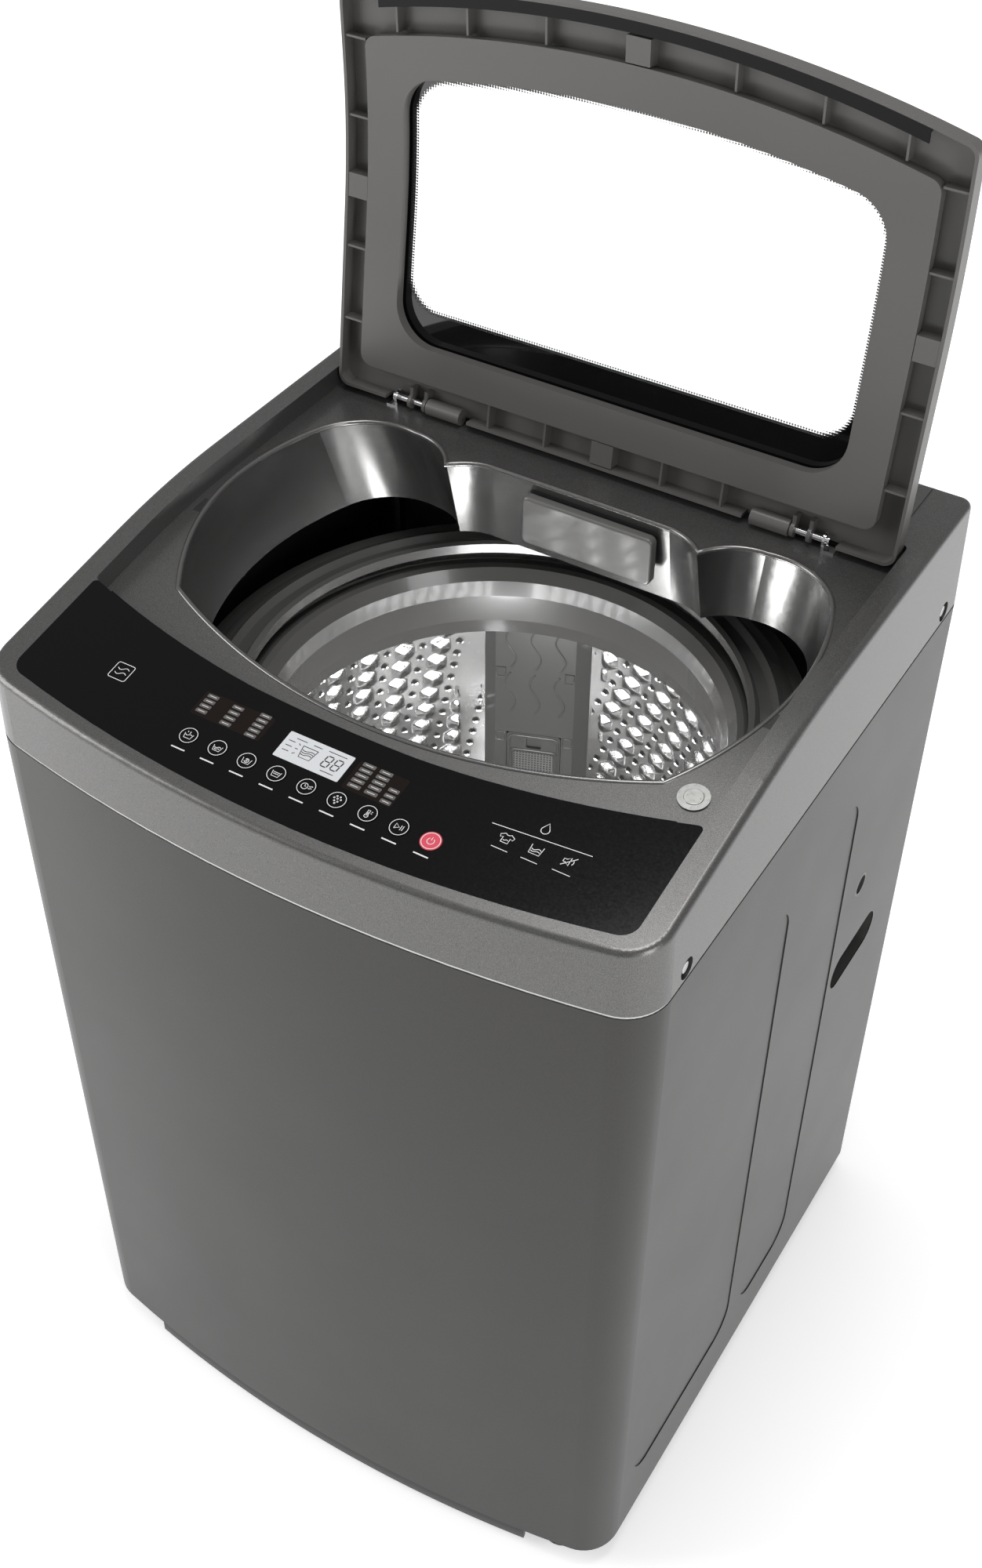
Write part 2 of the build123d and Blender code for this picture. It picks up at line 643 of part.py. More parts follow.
with BuildPart() as control_board:
    with BuildSketch(PANEL_PLANE.offset(-BOARD_DROP - 1.6)):
        with Locations(BOX_MIDDLE):
            Rectangle(BOX_SIZE[0] - 8.0, BOX_SIZE[1] - 8.0)
    extrude(amount=1.6)
    on_panel(BUTTON_PLACES, 3.0, BOARD_DROP, 2.0)
    with BuildSketch(PANEL_PLANE.offset(-BOARD_DROP)):
        with Locations(DISPLAY_PLACE):
            Rectangle(DISPLAY_SIZE[0] - 2.0, DISPLAY_SIZE[1] - 2.0)
        for place, size in WINDOW_PLACES:
            with Locations(place):
                Rectangle(size[0] - 2.0, size[1] - 6.0)
    extrude(amount=BOARD_DROP - PANEL_THICK - 0.5)
save(control_board.part, "control_board")

BUTTON_NAMES = (
    "wash", "rinse", "spin", "level", "delay", "program", "temperature", "start", "power"
)
for name, place in zip(BUTTON_NAMES, BUTTON_PLACES):
    with BuildPart() as button:
        on_panel([place], BUTTON_RADIUS, PANEL_THICK + 1.4, PANEL_THICK + 1.7)
        on_panel([place], BUTTON_RADIUS + 1.5, PANEL_THICK + 1.4, 1.2)
        on_panel([place], 2.6, BOARD_DROP - 2.0 - BUTTON_TRAVEL - 0.3, BOARD_DROP - 7.0)
    save(button.part, f"button_{name}")

BUFFER_PLACE = (262.0, 193.5)
SEAT_DROP = LID_SEAT * cos(radians(TOP_SLOPE))
with BuildPart() as lid_buffer:
    on_panel([BUFFER_PLACE], 13.0, SEAT_DROP, 1.6)
    on_panel([BUFFER_PLACE], 8.0, SEAT_DROP, 2.2)
    fillet(lid_buffer.faces().sort_by(Axis.Z)[-1].outer_wire().edges(), radius=0.5)
save(lid_buffer.part, "lid_buffer")

# ---- lid, drawn closed and then swung open about its pins ----
def open_lid(piece):
    """Swing a closed lid piece up to its open rest."""
    return piece.rotate(HINGE_AXIS, -OPEN_ANGLE)


def lid_plan(grow):
    """Outline of the closed lid."""
    return bowed_plan(
        LAYER_BASE, LID_HALF + grow, LID_FRONT - grow, LID_BOW, HINGE_Y + LID_TAIL + grow,
        12.0 + grow,
    )


def inner_plan(grow):
    """Outline of the lid's inner frame."""
    return bowed_plan(
        LAYER_BASE,
        LID_HALF - LID_BAND + grow,
        LID_FRONT + LID_BAND + 14.0 - grow,
        LID_BOW - 4.0,
        HINGE_Y - LID_BAND + grow,
        12.0 + grow,
    )


def window_plan(grow):
    """Outline of the see-through window in the inner frame."""
    return bowed_plan(
        LAYER_BASE, WINDOW_HALF + grow, WINDOW_FRONT - grow, 26.0, WINDOW_BACK + grow,
        38.0 + grow,
    )


WINDOW_HALF = 225.0
WINDOW_FRONT = -119.0
WINDOW_BACK = 146.0
GLASS_MARGIN = 22.0
LEDGE = 7.0
KNUCKLES = ((188.0, 191.5), (204.0, 207.5))
with BuildPart() as lid_cover:
    add(top_layer(lid_plan(0), 0, LID_DEPTH))
    add(top_layer(lid_plan(-LID_WALL), LID_WALL, LID_DEPTH + 5), mode=Mode.SUBTRACT)
    add(top_layer(window_plan(GLASS_MARGIN + 2.5), 1.0, GLASS_THICK + 2.6))
    add(top_layer(window_plan(GLASS_MARGIN + FIT), -5, GLASS_THICK + FIT), mode=Mode.SUBTRACT)
    add(top_layer(window_plan(GLASS_MARGIN - LEDGE), -5, 30.0), mode=Mode.SUBTRACT)
    for hand in (-1, 1):
        low, high = sorted((hand * 142.0, hand * 232.0))
        block(
            (low, HINGE_Y - 12, HINGE_Z - 20),
            (high, HINGE_Y + 20, BACK_Z - LID_WALL),
            mode=Mode.SUBTRACT,
        )
        for near, far in KNUCKLES:
            low, high = sorted((hand * near, hand * far))
            across(low, high, HINGE_Y, HINGE_Z, 7.0)
            block((low, HINGE_Y - 14, HINGE_Z - 2), (high, HINGE_Y + 2, BACK_Z - 1.0))
            across(low - 1, high + 1, HINGE_Y, HINGE_Z, PIN_RADIUS + RUNNING, Mode.SUBTRACT)
    for x in (-120.0, -60.0, 60.0, 120.0):
        block(
            (x - 1, HINGE_Y - LID_BAND + 0.2, BACK_Z - LID_DEPTH + 1.5),
            (x + 1, HINGE_Y + 1, BACK_Z - 1.5),
        )
    for y in (-120.0, -50.0, 70.0, 140.0):
        with BuildSketch(Plane.XY.offset(LAYER_BASE)) as fins:
            for hand in (-1, 1):
                with Locations((hand * (LID_HALF - LID_BAND / 2 - 0.6), y)):
                    Rectangle(LID_BAND - 1.6, 2.0)
        add(top_layer(fins.sketch, 1.5, LID_DEPTH - 1.5))
    with BuildSketch(Plane.XY.offset(LAYER_BASE)) as fins:
        for x in (-230.0, -160.0, -85.0, 85.0, 160.0, 230.0):
            bow = LID_BOW * (x / LID_HALF) ** 2
            with Locations((x, LID_FRONT + bow + 22.5)):
                Rectangle(2.0, 29.0)
    add(top_layer(fins.sketch, 1.5, LID_DEPTH - 3.0))
    with BuildSketch(Plane.XY.offset(LAYER_BASE)) as clips:
        with Locations((0, HINGE_Y - LID_BAND / 2), (0, LID_FRONT + LID_BAND / 2 + 14)):
            Rectangle(22.0, LID_BAND - 2)
        for hand in (-1, 1):
            with Locations((hand * (LID_HALF - LID_BAND / 2), 13.0)):
                Rectangle(LID_BAND - 1, 22.0)
    add(top_layer(clips.sketch, 1.5, LID_DEPTH - 0.5))
save(open_lid(lid_cover.part), "lid_cover")

with BuildPart() as lid_frame:
    add(top_layer(inner_plan(0), GLASS_THICK + 2.8, LID_DEPTH))
    add(top_layer(inner_plan(-2.5), 0, LID_DEPTH - 2.5), mode=Mode.SUBTRACT)
    add(top_layer(window_plan(2.5), GLASS_THICK + 2.8, LID_DEPTH))
    add(top_layer(window_plan(0), 0, 30.0), mode=Mode.SUBTRACT)
save(open_lid(lid_frame.part), "lid_frame")

with BuildPart() as lid_glass:
    add(top_layer(window_plan(GLASS_MARGIN), 0.2, GLASS_THICK + 0.2))
save(open_lid(lid_glass.part), "lid_glass")

HANDLE_HALF = 246.0
with BuildPart() as lid_handle:
    add(top_layer(lid_plan(-LID_WALL), 11.0, LID_DEPTH))
    add(top_layer(lid_plan(-LID_WALL - 3), 9.0, LID_DEPTH - 2.5), mode=Mode.SUBTRACT)
    with BuildSketch(Plane.XY.offset(LAYER_BASE)) as strip:
        Rectangle(2 * HANDLE_HALF, SPAN)
        add(lid_plan(-LID_WALL - 10.0), mode=Mode.SUBTRACT)
        with Locations((0, SPAN / 2 - 100.0)):
            Rectangle(SPAN, SPAN, mode=Mode.SUBTRACT)
    add(extrude(strip.sketch, amount=LAYER_HEIGHT, mode=Mode.PRIVATE), mode=Mode.INTERSECT)
save(open_lid(lid_handle.part), "lid_handle")

with BuildPart() as lid_dampers:
    for hand in (-1, 1):
        low, high = sorted((hand * 150.0, hand * 187.0))
        across(low, high, HINGE_Y, HINGE_Z, BARREL_RADIUS)
        outer_end = lid_dampers.faces().sort_by(Axis.X)[0 if hand < 0 else -1]
        fillet(outer_end.outer_wire().edges(), radius=1.0)
        low, high = sorted((hand * 160.0, hand * 188.0))
        across(low, high, HINGE_Y, HINGE_Z, PIN_RADIUS + RUNNING, Mode.SUBTRACT)
save(open_lid(lid_dampers.part), "lid_dampers")

with BuildPart() as hinge_brackets:
    for hand in (-1, 1):
        low, high = sorted((hand * 219.0, hand * 221.5))
        across(low, high, HINGE_Y, HINGE_Z, 7.0)
        block((low, HINGE_Y - 6, BACK_Z - LID_SEAT), (high, HINGE_Y + 6, HINGE_Z))
        foot_low, foot_high = sorted((hand * 221.5, hand * 231.0))
        block(
            (foot_low, HINGE_Y - 6, BACK_Z - LID_SEAT), (foot_high, HINGE_Y + 6, BACK_Z - 18.2)
        )
        across(low - 1, high + 1, HINGE_Y, HINGE_Z, PIN_RADIUS, Mode.SUBTRACT)
save(hinge_brackets.part, "hinge_brackets")

with BuildPart() as hinge_pins:
    for hand in (-1, 1):
        low, high = sorted((hand * 163.0, hand * 223.0))
        across(low, high, HINGE_Y, HINGE_Z, PIN_RADIUS)
        low, high = sorted((hand * 223.0, hand * 224.5))
        across(low, high, HINGE_Y, HINGE_Z, PIN_RADIUS + 1.5)
save(hinge_pins.part, "hinge_pins")

# ---- detergent drawer and water inlet ----
with BuildPart() as detergent_drawer:
    block(
        (DRAWER_X - DRAWER_HALF, DRAWER_FACE, DRAWER_FOOT),
        (DRAWER_X + DRAWER_HALF, DRAWER_FACE + 9.0, DRAWER_HEAD),
    )
    fillet(detergent_drawer.edges().filter_by(Axis.Y), radius=6.0)
    fillet(detergent_drawer.faces().sort_by(Axis.Y)[0].outer_wire().edges(), radius=2.5)
    block(
        (DRAWER_X - DRAWER_SLOT + 2, DRAWER_FACE + 8.0, DRAWER_FOOT + 5),
        (DRAWER_X + DRAWER_SLOT - 2, DRAWER_FACE + 140.0, DRAWER_HEAD - 10),
    )
    for low, high in ((-57.5, 18.0), (20.5, 57.5)):
        block(
            (DRAWER_X + low, DRAWER_FACE + 14.0, DRAWER_FOOT + 8),
            (DRAWER_X + high, DRAWER_FACE + 137.0, DRAWER_HEAD),
            mode=Mode.SUBTRACT,
        )
save(detergent_drawer.part, "detergent_drawer")

HOUSING_FRONT = DRAWER_FACE + 48.0
with BuildPart() as drawer_housing:
    block(
        (DRAWER_X - DRAWER_SLOT - 4, HOUSING_FRONT, DRAWER_FOOT + 1),
        (DRAWER_X + DRAWER_SLOT + 4, DRAWER_FACE + 146.0, DRAWER_HEAD + 4),
    )
    block(
        (DRAWER_X - DRAWER_SLOT, HOUSING_FRONT - 5, DRAWER_FOOT + 4),
        (DRAWER_X + DRAWER_SLOT, DRAWER_FACE + 142.0, DRAWER_HEAD + 1),
        mode=Mode.SUBTRACT,
    )
    block(
        (DRAWER_X - 40, HOUSING_FRONT + 6, DRAWER_FOOT - 5),
        (DRAWER_X + 40, HOUSING_FRONT + 16, DRAWER_FOOT + 6),
        mode=Mode.SUBTRACT,
    )
save(drawer_housing.part, "drawer_housing")

with BuildPart() as inlet_valve:
    block((VALVE_X - 26, BACK_Y - 72, VALVE_Z - 18), (VALVE_X + 26, BACK_Y - 29, VALVE_Z + 16))
    along(BACK_Y - 40, BACK_Y - 4, VALVE_X, VALVE_Z, THREAD_RADIUS)
    for ring in range(8):
        middle = BACK_Y - 7 - ring * THREAD_PITCH
        with Locations(Location((VALVE_X, middle, VALVE_Z), (90, 0, 0))):
            Torus(THREAD_RADIUS + 0.1, 0.6, mode=Mode.SUBTRACT)
    along(BACK_Y - 30, BACK_Y, VALVE_X, VALVE_Z, 8.0, mode=Mode.SUBTRACT)
    for x in (VALVE_X - 13, VALVE_X + 13):
        post(x, BACK_Y - 50, VALVE_Z + 10, VALVE_Z + 44, 11.5)
    duct_end = DRAWER_X - DRAWER_SLOT - 4.0
    across(VALVE_X + 20, duct_end, BACK_Y - 54, VALVE_Z, 9.0)
    across(VALVE_X + 30, duct_end + 1, BACK_Y - 54, VALVE_Z, 7.0, mode=Mode.SUBTRACT)
save(inlet_valve.part, "inlet_valve")

with BuildPart() as cover_screws:
    for side, y in SCREW_SPOTS:
        seat = CASE_WIDTH / 2 - SCREW_SEAT
        low, high = sorted((side * seat, side * (seat + 2.4)))
        across(low, high, y, SCREW_Z, 5.0)
        low, high = sorted((side * (seat - 10.0), side * seat))
        across(low, high, y, SCREW_Z, 2.0)
save(cover_screws.part, "cover_screws")

# ---- tub ----
LUG_BASE = 365.0
LUG_TOP = 383.0
HUB_RADIUS = 60.0
BEARING_RADIUS = 31.0
with BuildPart() as outer_tub:
    turn([
        (36.0, 268.0), (HUB_RADIUS, 268.0), (HUB_RADIUS, TUB_BOTTOM),
        (TUB_RADIUS, TUB_BOTTOM), (TUB_RADIUS, TUB_TOP), (TUB_RADIUS - TUB_WALL, TUB_TOP),
        (TUB_RADIUS - TUB_WALL, TUB_BOTTOM + 3), (HUB_RADIUS, TUB_BOTTOM + 3),
        (36.0, 300.0),
    ])
    for x, y in ROD_PLACES:
        reach = sqrt(x**2 + (y - DRUM_Y) ** 2)
        turned = degrees(atan2(y - DRUM_Y, x))
        near = TUB_RADIUS - 1.0
        far = reach + 14.0
        place = Location((0, DRUM_Y, (LUG_BASE + LUG_TOP) / 2), (0, 0, turned))
        with Locations(place * Location(((near + far) / 2, 0, 0))):
            Box(far - near, 36.0, LUG_TOP - LUG_BASE)
        post(x, y, LUG_BASE - 1, LUG_TOP + 1, ROD_RADIUS + 1.5, mode=Mode.SUBTRACT)
    post(DRAIN_X, DRAIN_Y, TUB_BOTTOM - 1, TUB_BOTTOM + 4, 16.0, mode=Mode.SUBTRACT)
save(outer_tub.part, "outer_tub")

with BuildPart() as tub_cover:
    turn([
        (LIP_RADIUS, TUB_TOP + 7), (LIP_RADIUS, TUB_TOP + 17), (LIP_RADIUS + 5, TUB_TOP + 18),
        (LIP_RADIUS + 10, TUB_TOP + 11), (LIP_RADIUS + 21, TUB_TOP + 10),
        (LIP_RADIUS + 27, TUB_TOP + 15), (LIP_RADIUS + 33, TUB_TOP + 10),
        (LIP_RADIUS + 45, TUB_TOP + 4), (TUB_RADIUS + 3, TUB_TOP + 3),
        (TUB_RADIUS + 3, TUB_TOP - 14), (TUB_RADIUS + FIT, TUB_TOP - 14),
        (TUB_RADIUS + FIT, TUB_TOP), (LIP_RADIUS + 44, TUB_TOP),
        (LIP_RADIUS + 32, TUB_TOP + 6), (LIP_RADIUS + 27, TUB_TOP + 11.5),
        (LIP_RADIUS + 21, TUB_TOP + 6.5), (LIP_RADIUS + 8, TUB_TOP + 7.5),
    ])
save(tub_cover.part, "tub_cover")

# ---- basket ----
HOLE_COLUMNS = 18
HOLE_ROWS = 5
with BuildPart() as basket_wall:
    turn([
        (BASKET_RADIUS - BASKET_WALL, BASKET_BOTTOM), (BASKET_RADIUS, BASKET_BOTTOM),
        (BASKET_RADIUS, RING_BOTTOM), (BASKET_RADIUS - BASKET_WALL, RING_BOTTOM),
    ])
    for row in range(HOLE_ROWS):
        level = BASKET_BOTTOM + 60.0 + row * 70.0
        with Locations((0, DRUM_Y, level)):
            with PolarLocations(BASKET_RADIUS, HOLE_COLUMNS, start_angle=10.0 * (row % 2)):
                Cylinder(2.5, 12.0, rotation=(0, 90, 0), mode=Mode.SUBTRACT)
save(basket_wall.part, "basket_wall")

with BuildPart() as basket_base:
    turn([
        (SPIN_TUBE_RADIUS + 4, BASKET_BOTTOM - 3), (BASKET_RADIUS - BASKET_WALL, BASKET_BOTTOM - 3),
        (BASKET_RADIUS - BASKET_WALL, BASKET_BOTTOM + 12), (BASKET_RADIUS - 6, BASKET_BOTTOM + 4),
        (BASKET_RADIUS - 30, BASKET_BOTTOM + 1), (SPIN_TUBE_RADIUS + 4, BASKET_BOTTOM + 1),
    ])
    with Locations((0, DRUM_Y, BASKET_BOTTOM)):
        with PolarLocations(212.0, 16):
            Cylinder(6.0, 30.0, mode=Mode.SUBTRACT)
save(basket_base.part, "basket_base")

HOUSING_FOOT = BELT_LEVEL + 18.0
with BuildPart() as basket_hub:
    turn([
        (SHAFT_RADIUS + RUNNING, HOUSING_FOOT), (SPIN_TUBE_RADIUS, HOUSING_FOOT),
        (SPIN_TUBE_RADIUS, BASKET_BOTTOM - 20), (34.0, BASKET_BOTTOM - 20),
        (40.0, BASKET_BOTTOM - 13), (120.0, BASKET_BOTTOM - 9), (120.0, BASKET_BOTTOM - 3),
        (SPIN_TUBE_RADIUS, BASKET_BOTTOM - 3), (SPIN_TUBE_RADIUS, BASKET_BOTTOM + 6),
        (SHAFT_RADIUS + RUNNING, BASKET_BOTTOM + 6),
    ])
save(basket_hub.part, "basket_hub")

with BuildPart() as balance_ring:
    turn([
        (RING_LIP, RING_BOTTOM), (RING_LIP - 3, RING_BOTTOM + 17),
        (RING_THROAT, RING_BOTTOM + 48), (RING_THROAT + 3, RING_BOTTOM + 64),
        (RING_THROAT + 10, RING_BOTTOM + 76), (RING_THROAT + 16, RING_BOTTOM + 77),
        (RING_THROAT + 30, RING_BOTTOM + 72), (BASKET_RADIUS - 7, RING_BOTTOM + 66),
        (BASKET_RADIUS + 1, RING_BOTTOM + 60), (BASKET_RADIUS + 1, RING_BOTTOM),
    ])
save(balance_ring.part, "balance_ring")

FILTER_ANGLE = 110.5      # middle of the lint column, seen from above
COLUMN_HALF = 56.0
COLUMN_FACE = 232.0
COLUMN_FOOT = 366.0
CASSETTE_HALF = 29.0
CASSETTE_FOOT = 440.0
CASSETTE_HEAD = 566.0
CASSETTE_DEPTH = 11.0


def column_plan(face):
    """Lens between the basket wall and a flat face, pointing out along local Y."""
    back = BASKET_RADIUS - BASKET_WALL - FIT
    rise = sqrt(back**2 - COLUMN_HALF**2)
    with BuildSketch() as plan:
        with BuildLine():
            ThreePointArc((-COLUMN_HALF, rise), (0, back), (COLUMN_HALF, rise))
            Polyline(
                (COLUMN_HALF, rise), (COLUMN_HALF - 14, face), (-COLUMN_HALF + 14, face),
                (-COLUMN_HALF, rise),
            )
        make_face()
    return plan.sketch


with BuildPart() as filter_columns:
    for turn_by in (0, 180):
        extrude(column_plan(COLUMN_FACE).rotate(Axis.Z, turn_by), amount=RING_BOTTOM - COLUMN_FOOT)
    with Locations((0, COLUMN_FACE + CASSETTE_DEPTH / 2,
                    (CASSETTE_FOOT + CASSETTE_HEAD) / 2 - COLUMN_FOOT)):
        Box(
            2 * CASSETTE_HALF + 1.0,
            CASSETTE_DEPTH + 1.0,
            CASSETTE_HEAD - CASSETTE_FOOT + 1.0,
            mode=Mode.SUBTRACT,
        )
filter_columns.part.position = (0, DRUM_Y, COLUMN_FOOT)
save(
    filter_columns.part.rotate(DRUM_AXIS, FILTER_ANGLE - 90.0), "filter_columns"
)

with BuildPart() as lint_filter:
    with Locations((0, COLUMN_FACE + (CASSETTE_DEPTH - 1) / 2, (CASSETTE_FOOT + CASSETTE_HEAD) / 2)):
        Box(2 * CASSETTE_HALF, CASSETTE_DEPTH - 1.0, CASSETTE_HEAD - CASSETTE_FOOT)
    fillet(lint_filter.edges().filter_by(Axis.Y), radius=4.0)
    with Locations((0, COLUMN_FACE, CASSETTE_HEAD - 14)):
        Box(16.0, 8.0, 12.0, mode=Mode.SUBTRACT)
lint_filter.part.position = (0, DRUM_Y, 0)
save(lint_filter.part.rotate(DRUM_AXIS, FILTER_ANGLE - 90.0), "lint_filter")

# ---- pulsator and shafts ----
PULSATOR_BASE = BASKET_BOTTOM + 13.0
with BuildPart() as pulsator:
    turn([
        (SHAFT_RADIUS + RUNNING, PULSATOR_BASE + 2), (22.0, PULSATOR_BASE + 2),
        (22.0, PULSATOR_BASE + 26), (60.0, PULSATOR_BASE + 22), (115.0, PULSATOR_BASE + 12),
        (170.0, PULSATOR_BASE + 5), (PULSATOR_RADIUS - 5, PULSATOR_BASE + 4),
        (PULSATOR_RADIUS - 4, PULSATOR_BASE), (PULSATOR_RADIUS, PULSATOR_BASE),
        (PULSATOR_RADIUS, PULSATOR_BASE + 5), (PULSATOR_RADIUS - 4, PULSATOR_BASE + 9),
        (170.0, PULSATOR_BASE + 9), (112.0, PULSATOR_BASE + 17), (58.0, PULSATOR_BASE + 27),
        (26.0, PULSATOR_BASE + 31), (SHAFT_RADIUS + RUNNING, PULSATOR_BASE + 31),
    ])
    with BuildSketch(Plane.XY.offset(PULSATOR_BASE + 9)):
        with Locations((0, DRUM_Y)):
            with PolarLocations(106.0, 6):
                SlotOverall(140.0, 16.0)
    extrude(amount=17.0, taper=12.0)
save(pulsator.part, "pulsator")

with BuildPart() as pulsator_screw:
    post(0, DRUM_Y, PULSATOR_BASE + 31, PULSATOR_BASE + 38, 16.0)
    fillet(pulsator_screw.faces().sort_by(Axis.Z)[-1].outer_wire().edges(), radius=3.0)
    block((-10, DRUM_Y - 1.5, PULSATOR_BASE + 36), (10, DRUM_Y + 1.5, PULSATOR_BASE + 39),
          mode=Mode.SUBTRACT)
save(pulsator_screw.part, "pulsator_screw")

PULLEY_BASE = BELT_LEVEL - 7.0
with BuildPart() as wash_shaft:
    post(0, DRUM_Y, PULLEY_BASE - 4, PULSATOR_BASE + 30.9, SHAFT_RADIUS)
    chamfer(wash_shaft.edges().filter_by(GeomType.CIRCLE), length=1.0)
save(wash_shaft.part, "wash_shaft")

with BuildPart() as gearbox:
    turn([
        (BEARING_RADIUS, HOUSING_FOOT + 4), (GEARBOX_RADIUS, HOUSING_FOOT + 4),
        (GEARBOX_RADIUS, 258.0), (76.0, 258.0), (76.0, 264.0), (BEARING_RADIUS, 264.0),
    ])
save(gearbox.part, "gearbox")

with BuildPart() as bearings:
    for level in (HOUSING_FOOT + 6, 250.0):
        post(0, DRUM_Y, level, level + 14, BEARING_RADIUS)
        post(0, DRUM_Y, level - 1, level + 15, SPIN_TUBE_RADIUS + RUNNING, Mode.SUBTRACT)
save(bearings.part, "bearings")

with BuildPart() as shaft_seal:
    post(0, DRUM_Y, 272.0, 284.0, 36.0)
    post(0, DRUM_Y, 271.0, 285.0, SPIN_TUBE_RADIUS + RUNNING, Mode.SUBTRACT)
save(shaft_seal.part, "shaft_seal")

MOTOR_Y = DRUM_Y - MOTOR_OFFSET
MOTOR_RADIUS = 60.0
with BuildPart() as mount_plate:
    with BuildSketch(Plane.XY.offset(264.0)):
        with Locations((0, DRUM_Y)):
            Circle(112.0)
        with Locations((0, MOTOR_Y)):
            Circle(74.0)
        make_hull()
        with Locations((0, DRUM_Y)):
            Circle(HUB_RADIUS - 24.0, mode=Mode.SUBTRACT)
        with Locations((0, MOTOR_Y)):
            Circle(20.0, mode=Mode.SUBTRACT)
    extrude(amount=4.0)
save(mount_plate.part, "mount_plate")


def belt_pulley(x, y, radius, bore):
    """Grooved pulley at the belt level."""
    base = PULLEY_BASE
    turn(
        [
            (bore, base), (radius, base), (radius, base + 3.0), (radius - 6.5, base + 4.4),
            (radius - 6.5, base + 9.6), (radius, base + 11.0), (radius, base + 14.0),
            (bore, base + 14.0),
        ],
        x=x,
        y=y,
    )


with BuildPart() as drive_pulley:
    belt_pulley(0, DRUM_Y, PULLEY_RADIUS, SHAFT_RADIUS)
    with Locations((0, DRUM_Y, BELT_LEVEL)):
        with PolarLocations(44.0, 5):
            Cylinder(14.0, 30.0, mode=Mode.SUBTRACT)
save(drive_pulley.part, "drive_pulley")

MOTOR_SHAFT_RADIUS = 6.0
with BuildPart() as motor_pulley:
    belt_pulley(0, MOTOR_Y, MOTOR_PULLEY_RADIUS, 3.0)
    post(0, MOTOR_Y, PULLEY_BASE + 14, 255.0, MOTOR_SHAFT_RADIUS)
    post(0, MOTOR_Y, PULLEY_BASE - 1, PULLEY_BASE + 14, 3.5)
save(motor_pulley.part, "motor_pulley")

with BuildPart() as motor:
    post(0, MOTOR_Y, HOUSING_FOOT - 2, 256.0, MOTOR_RADIUS)
    fillet(motor.edges().filter_by(GeomType.CIRCLE), radius=6.0)
    for x in (-46.0, 46.0):
        for y in (-30.0, 30.0):
            post(x, MOTOR_Y + y, 240.0, 264.0, 7.0)
    post(0, MOTOR_Y, HOUSING_FOOT - 10, 257.0, MOTOR_SHAFT_RADIUS + RUNNING, Mode.SUBTRACT)
save(motor.part, "motor")

with BuildPart() as belt:
    with BuildSketch(Plane.XY.offset(BELT_LEVEL - 2.2)) as loop:
        with Locations((0, DRUM_Y)):
            Circle(PULLEY_RADIUS - 6.5 + GAP + BELT_THICK)
        with Locations((0, MOTOR_Y)):
            Circle(MOTOR_PULLEY_RADIUS - 6.5 + GAP + BELT_THICK)
        make_hull()
    with BuildSketch(Plane.XY.offset(BELT_LEVEL - 2.2)) as inside:
        with Locations((0, DRUM_Y)):
            Circle(PULLEY_RADIUS - 6.5 + GAP)
        with Locations((0, MOTOR_Y)):
            Circle(MOTOR_PULLEY_RADIUS - 6.5 + GAP)
        make_hull()
    extrude(loop.sketch, amount=4.4)
    extrude(inside.sketch, amount=4.4, mode=Mode.SUBTRACT)
save(belt.part, "belt")

# ---- drain ----
with BuildPart() as drain_valve:
    post(DRAIN_X, DRAIN_Y, 232.0, TUB_BOTTOM, 26.0)
    post(DRAIN_X, DRAIN_Y, 236.0, TUB_BOTTOM + 1, 15.5, mode=Mode.SUBTRACT)
    along(DRAIN_Y + 20, DRAIN_Y + 46, DRAIN_X, 250.0, 13.0)
    along(DRAIN_Y + 10, DRAIN_Y + 47, DRAIN_X, 250.0, 10.5, mode=Mode.SUBTRACT)
    across(DRAIN_X - 70, DRAIN_X - 20, DRAIN_Y, 250.0, 18.0)
save(drain_valve.part, "drain_valve")

OUTLET_BORE = 12.0
HOSE_RADIUS = 14.0
PANEL_Y = BACK_Y - BACK_INSET     # outside face of the rear panel
with BuildPart() as drain_outlet:
    along(PANEL_Y - 18, BACK_Y - 2, DRAIN_X, OUTLET_Z, OUTLET_RADIUS)
    along(PANEL_Y, PANEL_Y + 3, DRAIN_X, OUTLET_Z, OUTLET_RADIUS + 6)
    along(PANEL_Y - 19, BACK_Y, DRAIN_X, OUTLET_Z, OUTLET_BORE, mode=Mode.SUBTRACT)
save(drain_outlet.part, "drain_outlet")

HOSE_START = (DRAIN_X, DRAIN_Y + 46.2, 250.0)
with BuildPart() as drain_hose:
    with BuildLine():
        FilletPolyline(
            HOSE_START,
            (DRAIN_X, DRAIN_Y + 76.0, 250.0),
            (DRAIN_X, DRAIN_Y + 102.0, OUTLET_Z),
            (DRAIN_X, PANEL_Y - 18 - GAP, OUTLET_Z),
            radius=20.0,
        )
    with BuildSketch(Plane(origin=HOSE_START, z_dir=(0, 1, 0))):
        Circle(HOSE_RADIUS)
        Circle(HOSE_RADIUS - 2.5, mode=Mode.SUBTRACT)
    sweep()
save(drain_hose.part, "drain_hose")

# ---- suspension ----
ROD_FOOT = 292.0
BALL_RADIUS = 9.0
ROD_HEAD = HANGER_LEVEL + HANGER_THICK + BALL_RADIUS
with BuildPart() as suspension_rods:
    for x, y in ROD_PLACES:
        post(x, y, ROD_FOOT - 4, ROD_HEAD, ROD_RADIUS)
        post(x, y, ROD_FOOT - 4, ROD_FOOT, 16.0)
        with Locations((x, y, ROD_HEAD)):
            Sphere(BALL_RADIUS)
save(suspension_rods.part, "suspension_rods")

